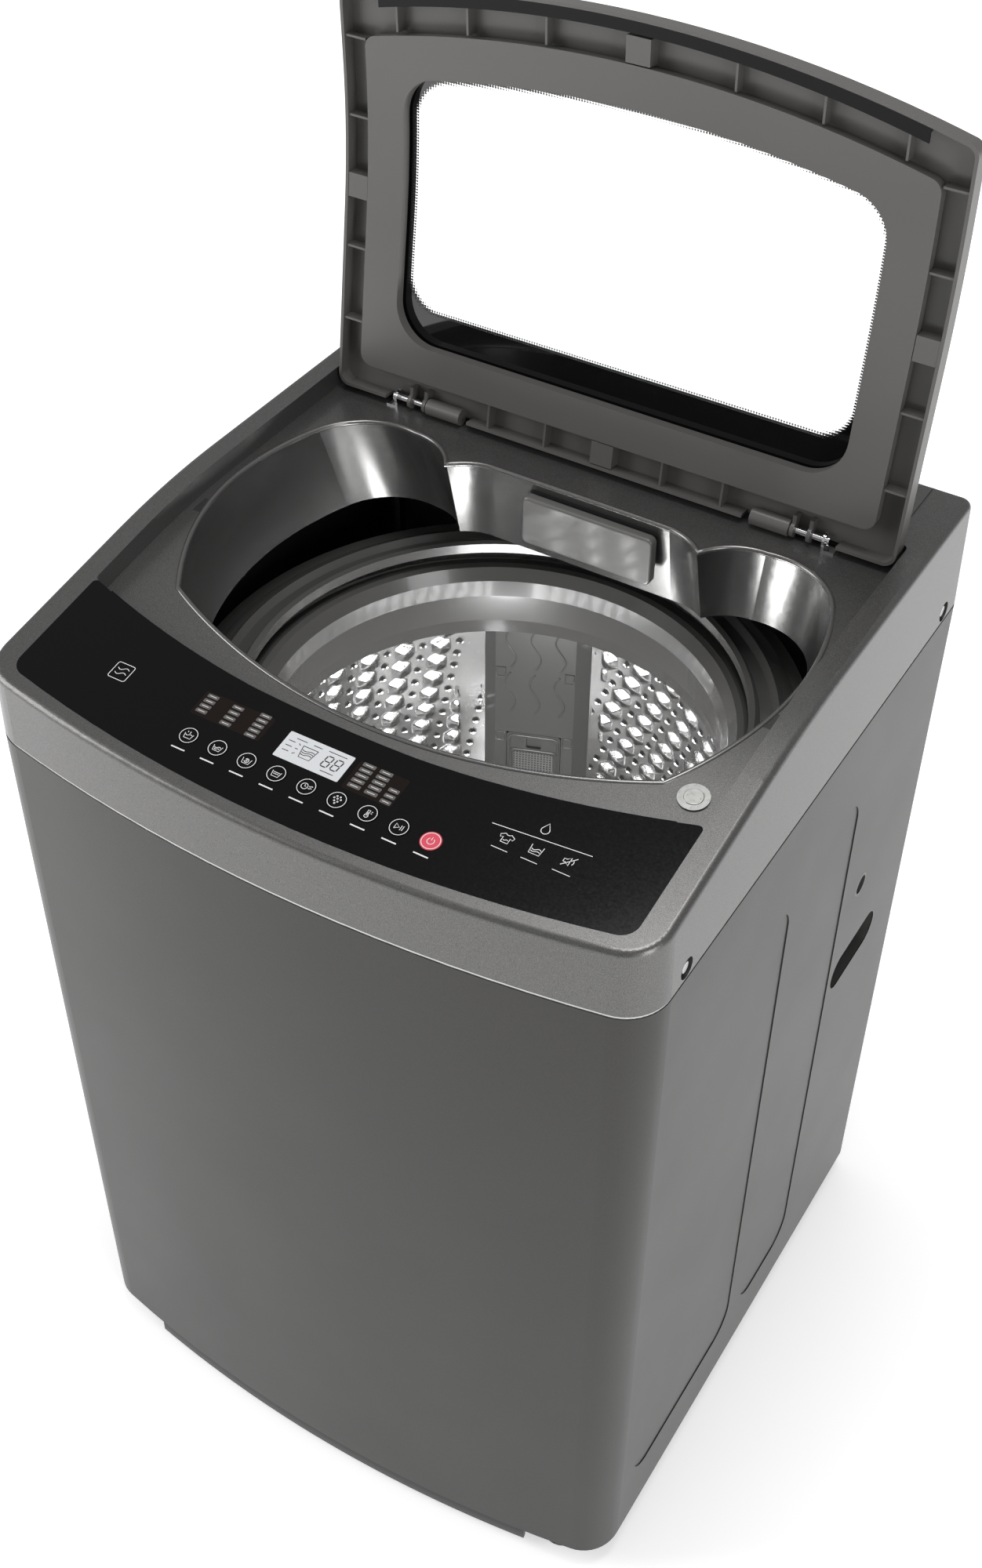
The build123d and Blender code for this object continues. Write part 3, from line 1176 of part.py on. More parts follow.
SPRING_RADIUS = 12.0
SPRING_WIRE = 1.6
SPRING_TURNS = 7
with BuildPart() as suspension_springs:
    length = LUG_BASE - ROD_FOOT - 2 * SPRING_WIRE - 1.0
    with BuildLine():
        Helix(
            pitch=length / SPRING_TURNS, height=length, radius=SPRING_RADIUS,
            center=(ROD_PLACES[0][0], ROD_PLACES[0][1], ROD_FOOT + SPRING_WIRE + 0.4),
        )
    with BuildSketch(
        Plane(
            origin=(ROD_PLACES[0][0] + SPRING_RADIUS, ROD_PLACES[0][1],
                    ROD_FOOT + SPRING_WIRE + 0.4),
            z_dir=(0, 1, 0),
        )
    ):
        Circle(SPRING_WIRE)
    sweep(is_frenet=True)
    first = suspension_springs.part
    for x, y in ROD_PLACES[1:]:
        add(first.moved(Location((x - ROD_PLACES[0][0], y - ROD_PLACES[0][1], 0))))
save(suspension_springs.part, "suspension_springs")
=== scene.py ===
# %% [markdown]
# # A top-loading washing machine with its lid open
# The hard parts come ready-made as a frame: every case panel, hinge and shaft is already in
# its right place, in metres. This lesson gives them their finishes, and adds the fine shapes
# that a frame doesn't carry: the embossed basket, the printed panel, the ribs and the lips.
# Each new piece is a surface worked out with numpy and told which moving body it rides on.

# %% Load the frame
import bmesh
import bpy
import numpy as np
from math import atan2, cos, pi, radians, sin, tan
from mathutils import Matrix, Vector


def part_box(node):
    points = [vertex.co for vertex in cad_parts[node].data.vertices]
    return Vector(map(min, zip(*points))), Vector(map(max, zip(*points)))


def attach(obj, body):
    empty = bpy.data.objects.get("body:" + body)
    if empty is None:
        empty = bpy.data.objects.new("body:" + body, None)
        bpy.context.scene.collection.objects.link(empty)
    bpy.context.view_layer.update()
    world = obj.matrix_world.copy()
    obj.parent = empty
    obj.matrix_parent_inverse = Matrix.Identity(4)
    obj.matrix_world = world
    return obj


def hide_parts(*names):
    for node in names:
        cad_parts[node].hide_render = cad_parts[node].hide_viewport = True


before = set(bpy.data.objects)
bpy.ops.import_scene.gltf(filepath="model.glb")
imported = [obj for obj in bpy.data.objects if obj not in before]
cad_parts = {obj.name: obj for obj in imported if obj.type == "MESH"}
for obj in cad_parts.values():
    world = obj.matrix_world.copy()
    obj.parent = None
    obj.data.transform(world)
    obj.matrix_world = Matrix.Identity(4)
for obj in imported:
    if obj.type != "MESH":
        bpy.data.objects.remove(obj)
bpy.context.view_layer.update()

# %% [markdown]
# ## Camera
# The machine is looked at from above its right front corner, with a fairly long lens. The
# three directions of the camera are worked out from its bearing and its height angle, which
# is easier to read than a turned quaternion. Depth of field stays off, so all of it is sharp.

# %% Camera
BEARING = radians(31.09)
HEIGHT_ANGLE = radians(42.71)
ROLL = radians(0.42)
EYE = Vector((0.6918, -1.1350, 1.9452))
LENS_MM = 45.03

flat_share = cos(HEIGHT_ANGLE)
back = Vector((sin(BEARING) * flat_share, -cos(BEARING) * flat_share, sin(HEIGHT_ANGLE)))
level = Vector((cos(BEARING), sin(BEARING), 0))
upward = back.cross(level)
right = cos(ROLL) * level + sin(ROLL) * upward
top = cos(ROLL) * upward - sin(ROLL) * level
camera_data = bpy.data.cameras.new("camera")
camera_data.lens = LENS_MM
camera = bpy.data.objects.new("camera", camera_data)
camera.matrix_world = Matrix.Translation(EYE) @ Matrix((right, top, back)).transposed().to_4x4()
bpy.context.scene.collection.objects.link(camera)
bpy.context.scene.camera = camera
print("camera looks along", [round(-v, 3) for v in back])

# %% [markdown]
# ## Shader sums as Python
# A finish is mostly arithmetic on a few patterns, and node editors hide that arithmetic in
# long chains of Math nodes. One small class wraps a socket, so that `grain * 0.2 + 0.4` adds
# the nodes by itself. Every other node comes from one method, so each finish reads like a
# recipe: what pattern, how strong, and which socket it feeds.

# %% Sockets that take part in sums
class Wire:
    """A shader value: sums, products and comparisons on it add Math nodes."""

    def __init__(self, tree, socket):
        self.tree, self.socket = tree, socket

    def sum_node(self, operation, *values):
        node = self.tree.nodes.new("ShaderNodeMath")
        node.operation = operation
        for slot, value in zip(node.inputs, values):
            if isinstance(value, Wire):
                self.tree.links.new(value.socket, slot)
            else:
                slot.default_value = value
        return Wire(self.tree, node.outputs[0])

    def __add__(self, other):
        return self.sum_node("ADD", self, other)

    def __sub__(self, other):
        return self.sum_node("SUBTRACT", self, other)

    def __rsub__(self, other):
        return self.sum_node("SUBTRACT", other, self)

    def __mul__(self, other):
        return self.sum_node("MULTIPLY", self, other)

    def __truediv__(self, other):
        return self.sum_node("DIVIDE", self, other)

    def __pow__(self, other):
        return self.sum_node("POWER", self, other)

    def __gt__(self, other):
        return self.sum_node("GREATER_THAN", self, other)

    def __lt__(self, other):
        return self.sum_node("LESS_THAN", self, other)

    def __abs__(self):
        return self.sum_node("ABSOLUTE", self)

    __radd__ = __add__
    __rmul__ = __mul__

    def floor_at(self, other):
        return self.sum_node("MAXIMUM", self, other)

    def capped_at(self, other):
        return self.sum_node("MINIMUM", self, other)

    def root(self):
        return self.sum_node("SQRT", self)

    def cell(self):
        """Fractional part: a ramp from 0 to 1 that repeats."""
        return self.sum_node("FRACT", self)

    def ramp(self, low, high):
        """0 below low, 1 above high, straight in between."""
        return ((self - low) / (high - low)).floor_at(0).capped_at(1)


class Finish:
    """A Principled material. Constants are set on its own sockets; patterns are linked."""

    def __init__(self, name, colour, roughness, metallic=0.0, **constants):
        self.material = bpy.data.materials.new(name)
        self.material.use_nodes = True
        self.tree = self.material.node_tree
        self.shader = self.tree.nodes["Principled BSDF"]
        self.colour = tuple(colour) + (1,)
        self.set("Base Color", self.colour)
        self.set("Roughness", roughness)
        self.set("Metallic", metallic)
        for key, value in constants.items():
            self.set(key.replace("_", " "), value)

    def set(self, socket, value):
        """Constant or Wire onto one of the shader's sockets."""
        if isinstance(value, Wire):
            self.tree.links.new(value.socket, self.shader.inputs[socket])
        else:
            self.shader.inputs[socket].default_value = value

    def node(self, kind, settings=(), inputs=(), output=0):
        """Any node: its type, its settings and its inputs, by name or number."""
        node = self.tree.nodes.new(kind)
        for key, value in dict(settings).items():
            setattr(node, key, value)
        for key, value in dict(inputs).items():
            if isinstance(value, Wire):
                self.tree.links.new(value.socket, node.inputs[key])
            else:
                node.inputs[key].default_value = value
        return Wire(self.tree, node.outputs[output])

    def place(self, stretch=(1, 1, 1)):
        """Object coordinates, stretched along the axes."""
        spot = self.node("ShaderNodeTexCoord", output="Object")
        return self.node("ShaderNodeMapping", {}, {"Vector": spot, "Scale": stretch})

    def axes(self, source=None):
        """The x, y and z parts of a place as three wires."""
        split = self.tree.nodes.new("ShaderNodeSeparateXYZ")
        self.tree.links.new((source or self.place()).socket, split.inputs[0])
        return [Wire(self.tree, out) for out in split.outputs]

    def noise(self, scale, detail=2.0, stretch=(1, 1, 1)):
        """Soft random pattern, scale per metre, from 0 to 1."""
        inputs = {"Vector": self.place(stretch), "Scale": scale, "Detail": detail}
        return self.node("ShaderNodeTexNoise", {}, inputs)

    def blend(self, factor, first, second):
        """Mix of two colours."""
        settings = {"data_type": "RGBA"}
        inputs = {0: factor, 6: first, 7: second}
        return self.node("ShaderNodeMix", settings, inputs, output=2)

    def bump(self, height, distance):
        """Relief from a pattern; distance is its depth in metres."""
        inputs = {"Height": height, "Distance": distance, "Strength": 1.0}
        self.set("Normal", self.node("ShaderNodeBump", {}, inputs))


def shade(colour, factor):
    """The colour made lighter or darker."""
    return tuple(min(1.0, c * factor) for c in colour[:3]) + (1,)


# %% [markdown]
# ## Finishes
# Paint over steel is nearly smooth: fine metal flakes vary its colour, and a slight orange
# peel bends its reflections. Moulded plastic takes the fine matt grain of its mould. Drawn
# steel has hair lines, and a cast housing is sandy. Each maker below takes the scale of that
# real texture in repeats per metre, so a finish keeps its size on small and large pieces.

# %% Makers of finishes
def flake_paint(name, colour, roughness, flakes, coat=0.0, metallic=0.75):
    """Metallic lacquer: flakes change the colour, a soft wave the surface."""
    f = Finish(name, colour, roughness, metallic, Coat_Weight=coat, Coat_Roughness=0.12)
    fleck = f.noise(flakes, 1.0).ramp(0.35, 0.7)
    f.set("Base Color", f.blend(fleck, shade(colour, 0.82), shade(colour, 1.3)))
    f.set("Roughness", f.noise(9.0, 3.0) * 0.08 + (roughness - 0.04))
    f.bump(f.noise(160.0, 1.0) * 0.6 + fleck * 0.4, 0.00004)
    return f


def moulded(name, colour, roughness, grain=900.0, depth=0.00006, coat=0.0):
    """Moulded plastic: an even colour with the mould's fine grain."""
    f = Finish(name, colour, roughness, Coat_Weight=coat, Coat_Roughness=0.08)
    pores = f.noise(grain, 2.0)
    cloud = f.noise(6.0, 2.0)
    f.set("Base Color", f.blend(cloud, shade(colour, 0.92), shade(colour, 1.08)))
    f.set("Roughness", pores * 0.12 + (roughness - 0.06))
    f.bump(pores, depth)
    return f


def drawn_metal(name, colour, roughness, stretch=(1, 1, 0.02), lines=500.0):
    """Drawn or rolled metal: hair lines along one axis."""
    f = Finish(name, colour, roughness, 1.0)
    hair = f.noise(lines, 2.0, stretch)
    f.set("Base Color", f.blend(hair, shade(colour, 0.85), shade(colour, 1.1)))
    f.set("Roughness", hair * 0.16 + (roughness - 0.08))
    f.bump(hair, 0.00003)
    return f


CASE_GREY = (0.044, 0.043, 0.0415)
COLLAR_GREY = (0.112, 0.110, 0.108)
SKIRT_SHADE_GREY = (0.085, 0.085, 0.083)
LID_GREY = (0.082, 0.079, 0.075)
RING_GREY = (0.062, 0.061, 0.059)
BLACK = (0.003, 0.003, 0.0035)

case_paint = flake_paint("case_paint", CASE_GREY, 0.40, 2500.0, coat=0.10)
# painted highlight: the seam trim is painted light grey to stand for the bright line of light along
# the seam
seam_highlight_paint = flake_paint("seam_highlight_paint", (0.50, 0.50, 0.49), 0.25, 2500.0, coat=0.3)
lid_plastic = moulded("lid_plastic", LID_GREY, 0.32, 1100.0, 0.00003)
ring_plastic = moulded("ring_plastic", RING_GREY, 0.24, 1100.0, 0.00002, coat=0.35)
drawer_plastic = moulded("drawer_plastic", (0.095, 0.094, 0.091), 0.3, 1100.0, 0.00002, coat=0.5)
column_plastic = moulded("column_plastic", (0.052, 0.052, 0.050), 0.33, 1100.0, 0.00003)
dark_plastic = moulded("dark_plastic", (0.018, 0.018, 0.018), 0.5)
light_plastic = moulded("light_plastic", (0.72, 0.72, 0.70), 0.42)
panel_gloss = moulded("panel_gloss", BLACK, 0.14, 400.0, 0.000002)
panel_gloss.set("Specular IOR Level", 0.16)
rubber = moulded("rubber", (0.02, 0.02, 0.02), 0.75, 500.0, 0.00012)
zinc = drawn_metal("zinc", (0.55, 0.56, 0.57), 0.42, (1, 1, 1), 60.0)
steel = drawn_metal("steel", (0.56, 0.56, 0.56), 0.3)
chrome = drawn_metal("chrome", (0.86, 0.86, 0.87), 0.12, (1, 1, 1), 300.0)
cast = moulded("cast", (0.50, 0.51, 0.52), 0.5, 350.0, 0.0002)
cast.set("Metallic", 0.9)
circuit = moulded("circuit", (0.02, 0.14, 0.06), 0.5)
smoked = moulded("smoked", (0.009, 0.006, 0.005), 0.14, 400.0, 0.000002)
smoked.set("Specular IOR Level", 0.16)
red_gloss = moulded("red_gloss", (0.55, 0.040, 0.075), 0.3, 400.0, 0.000004, coat=0.2)
satin = drawn_metal("satin", (0.34, 0.34, 0.33), 0.30, (1, 1, 1), 300.0)
print("finishes so far:", len(bpy.data.materials))

# %% [markdown]
# ## The top cover: one lacquer, with painted shade in the opening
# One moulding carries one metallic lacquer. It is lighter and satin on the outside, and glossier
# on the skirt that leads down to the tub. On the skirt its colour is painted darker, as painted
# shade of the deep opening. The mould parts along the lip of the opening, so the change follows
# from position alone: whatever lies inside the outline of the opening and below the well floor is
# skirt.

# %% Top cover
cover_paint = flake_paint("cover_paint", COLLAR_GREY, 0.36, 1800.0, coat=0.3)
cover_low, cover_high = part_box("top_cover")
MOUTH_FRONT_Y = -0.177                      # front edge of the opening
FLOOR_LOW, FLOOR_HIGH, FLOOR_SLOPE = 0.916, 0.9415, 0.17
INSIDE_HALF, INSIDE_FRONT, INSIDE_REAR = 0.2835, -0.181, 0.190
x, y, z = cover_paint.axes()
floor_line = ((y - MOUTH_FRONT_Y) * FLOOR_SLOPE + FLOOR_LOW).capped_at(FLOOR_HIGH)
inside = (abs(x) < INSIDE_HALF) * (y > INSIDE_FRONT) * (y < INSIDE_REAR) * (z < floor_line)
fleck = cover_paint.noise(1800.0, 1.0).ramp(0.35, 0.7)
lacquer = cover_paint.blend(fleck, shade(COLLAR_GREY, 0.72), shade(COLLAR_GREY, 1.45))
# painted shade: inside the opening the cover takes a darker grey than its lacquer; the gloss change is
# the skirt's own
cover_paint.set("Base Color", cover_paint.blend(inside, lacquer, SKIRT_SHADE_GREY + (1,)))
cover_paint.set("Metallic", 0.75 - inside * 0.05)
cover_paint.set("Roughness", 0.36 - inside * 0.12)
print("cover from", [round(v, 3) for v in cover_low], "to", [round(v, 3) for v in cover_high])

# %% [markdown]
# ## Lid glass
# The glass is bonded on from outside, so its rim is printed black to hide the glue, and the
# print fades into the clear middle through rows of ever smaller dots. The distance from the
# rim is that of a rounded rectangle whose front edge is bowed; where a dot's own radius,
# which shrinks with that distance, reaches past the point, the print is opaque.

# %% Glass with a printed border
HINGE = Vector((0, 0.204, 0.952))
WINDOW_HALF, WINDOW_NEAR, WINDOW_FAR = 0.225, 0.082, 0.323
WINDOW_BOW, WINDOW_ROUND = 0.026, 0.036
LID_LEAN = 0.990                            # rise of the standing lid per unit of its length
DOT_PITCH, DOT_SHARE = 0.0026, 0.72         # the widest dots overlap and close the print
DOTS_FROM, DOTS_TO = 0.0015, 0.0085         # from the rim, where dots begin and end
WIRE_PITCH = 0.0125
glass = Finish("lid_glass", (0.9, 0.93, 0.93), 0.04, Coat_Weight=0.5, Coat_Roughness=0.02)
x, y, z = glass.axes()
reach = (z - HINGE.z) / LID_LEAN
bowed = reach + (x / WINDOW_HALF) ** 2 * WINDOW_BOW
middle, half = (WINDOW_NEAR + WINDOW_FAR) / 2, (WINDOW_FAR - WINDOW_NEAR) / 2
high_side = (bowed - middle).floor_at(middle - reach)
out_x = abs(x) - (WINDOW_HALF - WINDOW_ROUND)
out_z = high_side - (half - WINDOW_ROUND)
corner = (out_x.floor_at(0) ** 2 + out_z.floor_at(0) ** 2).root()
depth = WINDOW_ROUND - corner - out_x.floor_at(out_z).capped_at(0)
cell_x = (x / DOT_PITCH).cell() - 0.5
cell_z = (z / DOT_PITCH).cell() - 0.5
dot = DOT_SHARE - depth.ramp(DOTS_FROM, DOTS_TO) * DOT_SHARE
printed = (cell_x ** 2 + cell_z ** 2).root() < dot
line = (abs((reach / WIRE_PITCH).cell() - 0.5) < 0.02) * 0.05
glass.set("Base Color", glass.blend(printed, (0.93, 0.95, 0.95, 1), BLACK + (1,)))
glass.set("Alpha", printed.floor_at(line + 0.06))
print("clear window from", WINDOW_NEAR, "to", WINDOW_FAR, "beyond the hinge")

# %% [markdown]
# ## Dressing the frame's pieces
# Each ready-made piece gets the finish of what it is made of, with painted light on two: the
# seam trim's light grey is a painted highlight, and the top cover's skirt carries painted shade.
# Their meshes are not touched.

# %% Finishes on the frame's pieces
DRESS = {
    case_paint: ["cabinet"],
    seam_highlight_paint: ["seam_trim"],
    cover_paint: ["top_cover"],
    lid_plastic: ["lid_cover", "lid_frame", "lid_dampers"],
    glass: ["lid_glass"],
    ring_plastic: ["tub_cover", "balance_ring", "pulsator", "basket_base"],
    drawer_plastic: ["detergent_drawer"],
    column_plastic: ["filter_columns", "lint_filter", "side_grips", "side_plugs"],
    dark_plastic: [
        "cord_gland", "base_frame", "foot_left", "foot_right",
        "rear_feet", "drawer_housing", "drain_outlet",
    ],
    light_plastic: ["control_box", "inlet_valve", "outer_tub", "drain_valve"],
    panel_gloss: ["control_panel", "lid_handle"],
    rubber: ["shaft_seal", "belt", "drain_hose"],
    zinc: ["rear_panel", "mount_plate"],
    steel: [
        "basket_wall", "basket_hub", "wash_shaft", "bearings", "motor_pulley",
        "suspension_rods", "suspension_springs", "cover_screws",
    ],
    chrome: ["hinge_brackets", "hinge_pins", "pulsator_screw"],
    satin: ["lid_buffer"],
    cast: ["gearbox", "drive_pulley"],
    circuit: ["control_board"],
    smoked: ["display_windows"],
    red_gloss: ["button_power"],
}
motor_paint = flake_paint("motor_paint", (0.05, 0.05, 0.055), 0.45, 700.0)
DRESS[motor_paint] = ["motor"]
black_buttons = [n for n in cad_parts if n.startswith("button_") and n != "button_power"]
DRESS[panel_gloss] += black_buttons


def dress(piece, finish):
    """The finish in every material slot of a piece."""
    if not piece.material_slots:
        piece.data.materials.append(finish.material)
    for slot in piece.material_slots:
        slot.material = finish.material


for finish, names in DRESS.items():
    for name in names:
        dress(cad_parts[name], finish)
bare = set(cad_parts) - {n for names in DRESS.values() for n in names}
print("pieces still bare:", sorted(bare))

# %% [markdown]
# ## Surfaces from arrays
# Two helpers make every new shape. One turns a grid of points into a mesh, closing it round
# either way. The other carries a flat outline along a path: at each point of the path the
# outline stands across it, with its second coordinate along a given upward direction.

# %% Grid and sweep
def to_mesh(name, points, faces, body, finish, sharp=40.0):
    """Mesh object at the origin, normals outward, riding on a body."""
    mesh = bpy.data.meshes.new(name)
    mesh.from_pydata(points.reshape(-1, 3).tolist(), [], faces)
    work = bmesh.new()
    work.from_mesh(mesh)
    bmesh.ops.recalc_face_normals(work, faces=work.faces)
    work.to_mesh(mesh)
    work.free()
    mesh.polygons.foreach_set("use_smooth", np.ones(len(mesh.polygons), dtype=bool))
    mesh.set_sharp_from_angle(angle=radians(sharp))
    piece = bpy.data.objects.new(name, mesh)
    bpy.context.scene.collection.objects.link(piece)
    dress(piece, finish)
    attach(piece, body)
    print(name, "faces:", len(mesh.polygons))
    return piece


def grid_faces(rows, columns, ring_rows=False, ring_columns=False, first=0):
    """Quads between neighbours of a rows x columns grid of point numbers."""
    index = np.arange(rows * columns).reshape(rows, columns) + first
    if ring_rows:
        index = np.vstack([index, index[:1]])
    if ring_columns:
        index = np.hstack([index, index[:, :1]])
    quads = np.stack([index[:-1, :-1], index[1:, :-1], index[1:, 1:], index[:-1, 1:]], axis=-1)
    return quads.reshape(-1, 4).tolist()


def unit(vectors):
    """Each vector divided by its length."""
    return vectors / np.linalg.norm(vectors, axis=-1, keepdims=True)


def carried(path, upward, outline, ring=False):
    """Outline points a, b stand at path + a * side + b * up, where side = along x up."""
    path = np.asarray(path, dtype=float)
    if ring:
        along = np.roll(path, -1, axis=0) - np.roll(path, 1, axis=0)
    else:
        along = np.gradient(path, axis=0)
    up = np.broadcast_to(np.asarray(upward, dtype=float), path.shape)
    side = unit(np.cross(along, up))
    up = unit(np.cross(side, along))
    a, b = np.asarray(outline, dtype=float).T
    return path[:, None] + a[None, :, None] * side[:, None] + b[None, :, None] * up[:, None]


def sweeps(name, paths, upward, outline, body, finish, rings=(), sharp=40.0):
    """Several paths swept with one closed outline, as one mesh; open ends are capped."""
    points, faces, first = [], [], 0
    for number, path in enumerate(paths):
        ring = rings == "all" or number in rings
        grid = carried(path, upward, outline, ring)
        rows, columns = grid.shape[:2]
        faces += grid_faces(rows, columns, ring, True, first)
        if not ring:
            last = first + (rows - 1) * columns
            faces += [list(range(first, first + columns)), list(range(last, last + columns))]
        points.append(grid.reshape(-1, 3))
        first += rows * columns
    return to_mesh(name, np.vstack(points), faces, body, finish, sharp)


def circle(radius, count, start=0.0):
    """Points round a circle, without repeating the first."""
    angle = start + np.arange(count) * 2 * pi / count
    return np.stack([radius * np.cos(angle), radius * np.sin(angle)], axis=1)


# %% [markdown]
# ## Embossed basket
# The basket is rolled from mirror-bright stainless sheet. Presses push rows of small domes
# inwards, which rub the washing, and punch drain holes between them. A height is added to
# the cylinder's radius: a six-sided umbrella at each point of a slanted lattice. The same
# lattice, shifted by half a cell, places the holes. The finish draws them from the piece's own
# UV map, where one unit is one metre, as dark matte discs of painted shade seen through them.
# Beside the lint columns the sheet is left plain.

# %% Basket wall
DRUM = np.array([0.0, 0.017])
BASKET_RADIUS = 0.2550
SHEET = 0.0008
PITCH_ROUND, DOME_PITCH, HOLE_PITCH = 0.0391, 0.0213, 0.01565
DOME_LEVEL, HOLE_LEVEL = 0.6065, 0.6275      # heights of one row of each
LEFT_LEAN, RIGHT_LEAN = 0.207, 0.48          # sideways run of a column per unit of height
LEFT_START, RIGHT_START = 0.0384, 0.0143     # where the first column crosses the dome level
DOME_RADIUS, DOME_HEIGHT = 0.0096, 0.0042
HOLE_RADIUS = 0.0026
COLUMN_ANGLES = (radians(110.5), radians(290.5))
LEFT_PLAIN, RIGHT_PLAIN = 0.084, 0.070       # unembossed sheet on the two sides of a column
HOLES_PLAIN, HOLES_TOP = 0.060, 0.706        # the holes stop here
DOMES_TOP, FADE = 0.708, 0.006               # the domes flatten out near both edges
WALL_SPLIT = 0.5225                          # the wall is made in two pieces, to keep each small
STEEL_BRIGHT, HOLE_SHADE = (0.86, 0.86, 0.86, 1), (0.004, 0.004, 0.004, 1)
basket_low, basket_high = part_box("basket_wall")
HALF_GIRTH = pi * BASKET_RADIUS


def fraction(value):
    """Part after the whole number, for arrays and for shader values."""
    return value.cell() if isinstance(value, Wire) else value - np.floor(value)


def from_lattice(arc, height, right_half, pitch, level, shift):
    """Offsets along and up from the nearest point of the leaning columns of one half."""
    lean = right_half * (RIGHT_LEAN - LEFT_LEAN) + LEFT_LEAN
    start = right_half * (RIGHT_START - LEFT_START) + LEFT_START
    straight = arc + lean * (height - DOME_LEVEL) - start
    column = (fraction(straight / PITCH_ROUND + shift + 0.5) - 0.5) * PITCH_ROUND
    up = (fraction((height - level) / pitch + 0.5) - 0.5) * pitch
    return column - lean * up, up


def domes(arc, height, right_half):
    """Six-sided umbrellas: the largest of three slanted distances sets the slope."""
    along, up = from_lattice(arc, height, right_half, DOME_PITCH, DOME_LEVEL, 0.0)
    slants = [np.abs(along * cos(t) + up * sin(t)) for t in np.radians((0, 60, 120))]
    far = np.maximum.reduce(slants) / DOME_RADIUS
    return np.clip(1.06 - far, 0, 1) ** 0.8


def embossed(arc, right_half):
    """1 on the embossed sheet, 0 on the plain sheet beside the columns."""
    plain = LEFT_PLAIN + (RIGHT_PLAIN - LEFT_PLAIN) * right_half
    return (arc > plain) & (arc < HALF_GIRTH - plain)


def basket_band(name, low, high, around, rows):
    """Closed strip of sheet: embossed inside going up, plain outside coming down."""
    angle = np.arange(around) * 2 * pi / around
    height = np.linspace(low, high, rows)
    a, h = np.meshgrid(angle, height, indexing="ij")
    right_half = ((a - COLUMN_ANGLES[0]) % (2 * pi) > pi) * 1.0
    arc = (a - COLUMN_ANGLES[0]) % pi * BASKET_RADIUS
    bump = domes(arc, h, right_half) * embossed(arc, right_half)
    rise = np.clip((h - basket_low.z - 2 * FADE) / FADE, 0, 1)
    fall = np.clip((DOMES_TOP - h) / FADE, 0, 1)
    inner = BASKET_RADIUS - SHEET - DOME_HEIGHT * bump * rise * fall
    outer_h = np.linspace(high, low, 4)
    a2, h2 = np.meshgrid(angle, outer_h, indexing="ij")
    radius = np.hstack([inner, np.full_like(a2, BASKET_RADIUS)])
    a, h = np.hstack([a, a2]), np.hstack([h, h2])
    points = np.stack([radius * np.cos(a), DRUM[1] + radius * np.sin(a), h], axis=-1)
    faces = grid_faces(around, rows + 4, True, True)
    piece = to_mesh(name, points, faces, "basket", basket_steel, 60.0)
    uv = piece.data.uv_layers.new(name="sheet")
    corner = np.empty(len(piece.data.loops), dtype=np.int32)
    piece.data.loops.foreach_get("vertex_index", corner)
    flat = np.stack([(a * BASKET_RADIUS).ravel()[corner], h.ravel()[corner]], axis=1)
    wrap = flat[:, 0].reshape(-1, 4)
    wrap[(wrap.max(axis=1) - wrap.min(axis=1)) > 1.0] %= 2 * HALF_GIRTH - 0.002
    uv.data.foreach_set("uv", flat.ravel())
    return piece


basket_steel = Finish("basket_steel", (0.86, 0.86, 0.86), 0.1, 1.0)
u, v, _ = basket_steel.axes(basket_steel.node("ShaderNodeUVMap", {"uv_map": "sheet"}))
whole_turn = ((u - COLUMN_ANGLES[0] * BASKET_RADIUS) / (2 * HALF_GIRTH) + 1.0).cell() * 2
right_half = whole_turn > 1.0
sheet_arc = whole_turn.cell() * HALF_GIRTH
along, up = from_lattice(sheet_arc, v, right_half, HOLE_PITCH, HOLE_LEVEL, 0.5)
away = (along ** 2 + up ** 2).root()
open_sheet = (sheet_arc > HOLES_PLAIN) * (sheet_arc < HALF_GIRTH - HOLES_PLAIN) * (v < HOLES_TOP)
hole = (away < HOLE_RADIUS) * open_sheet
scuff = basket_steel.noise(25.0, 3.0)
# painted shade: each drain hole is a dark matte disc standing for the shade seen through it
basket_steel.set("Base Color", basket_steel.blend(hole, STEEL_BRIGHT, HOLE_SHADE))
basket_steel.set("Metallic", 1 - hole)
basket_steel.set("Roughness", scuff * 0.08 + 0.10 + hole * 0.5)
basket_steel.bump(away.ramp(HOLE_RADIUS, HOLE_RADIUS * 1.7) * open_sheet, 0.0009)

upper_wall = basket_band("basket_wall_upper", WALL_SPLIT, basket_high.z, 860, 98)
basket_band("basket_wall_lower", basket_low.z, WALL_SPLIT, 860, 92)
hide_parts("basket_wall")

# %% [markdown]
# ## Lint column
# Two plastic columns stand opposite each other in the basket. Water is thrown up inside them
# and falls through the lint filter. Wavy ribs stiffen the flat face above the filter, and
# small windows near its edges hold the snap hooks. The ribs are half-round profiles carried
# along a sine; the face's own directions are found from the column's bearing.

# %% Ribs and windows of the columns
def column_frame(angle):
    """Origin on the drum axis, outward and sideways directions of a column."""
    outward = np.array([cos(angle), sin(angle), 0.0])
    sideways = np.array([sin(angle), -cos(angle), 0.0])
    return np.array([DRUM[0], DRUM[1], 0.0]), outward, sideways


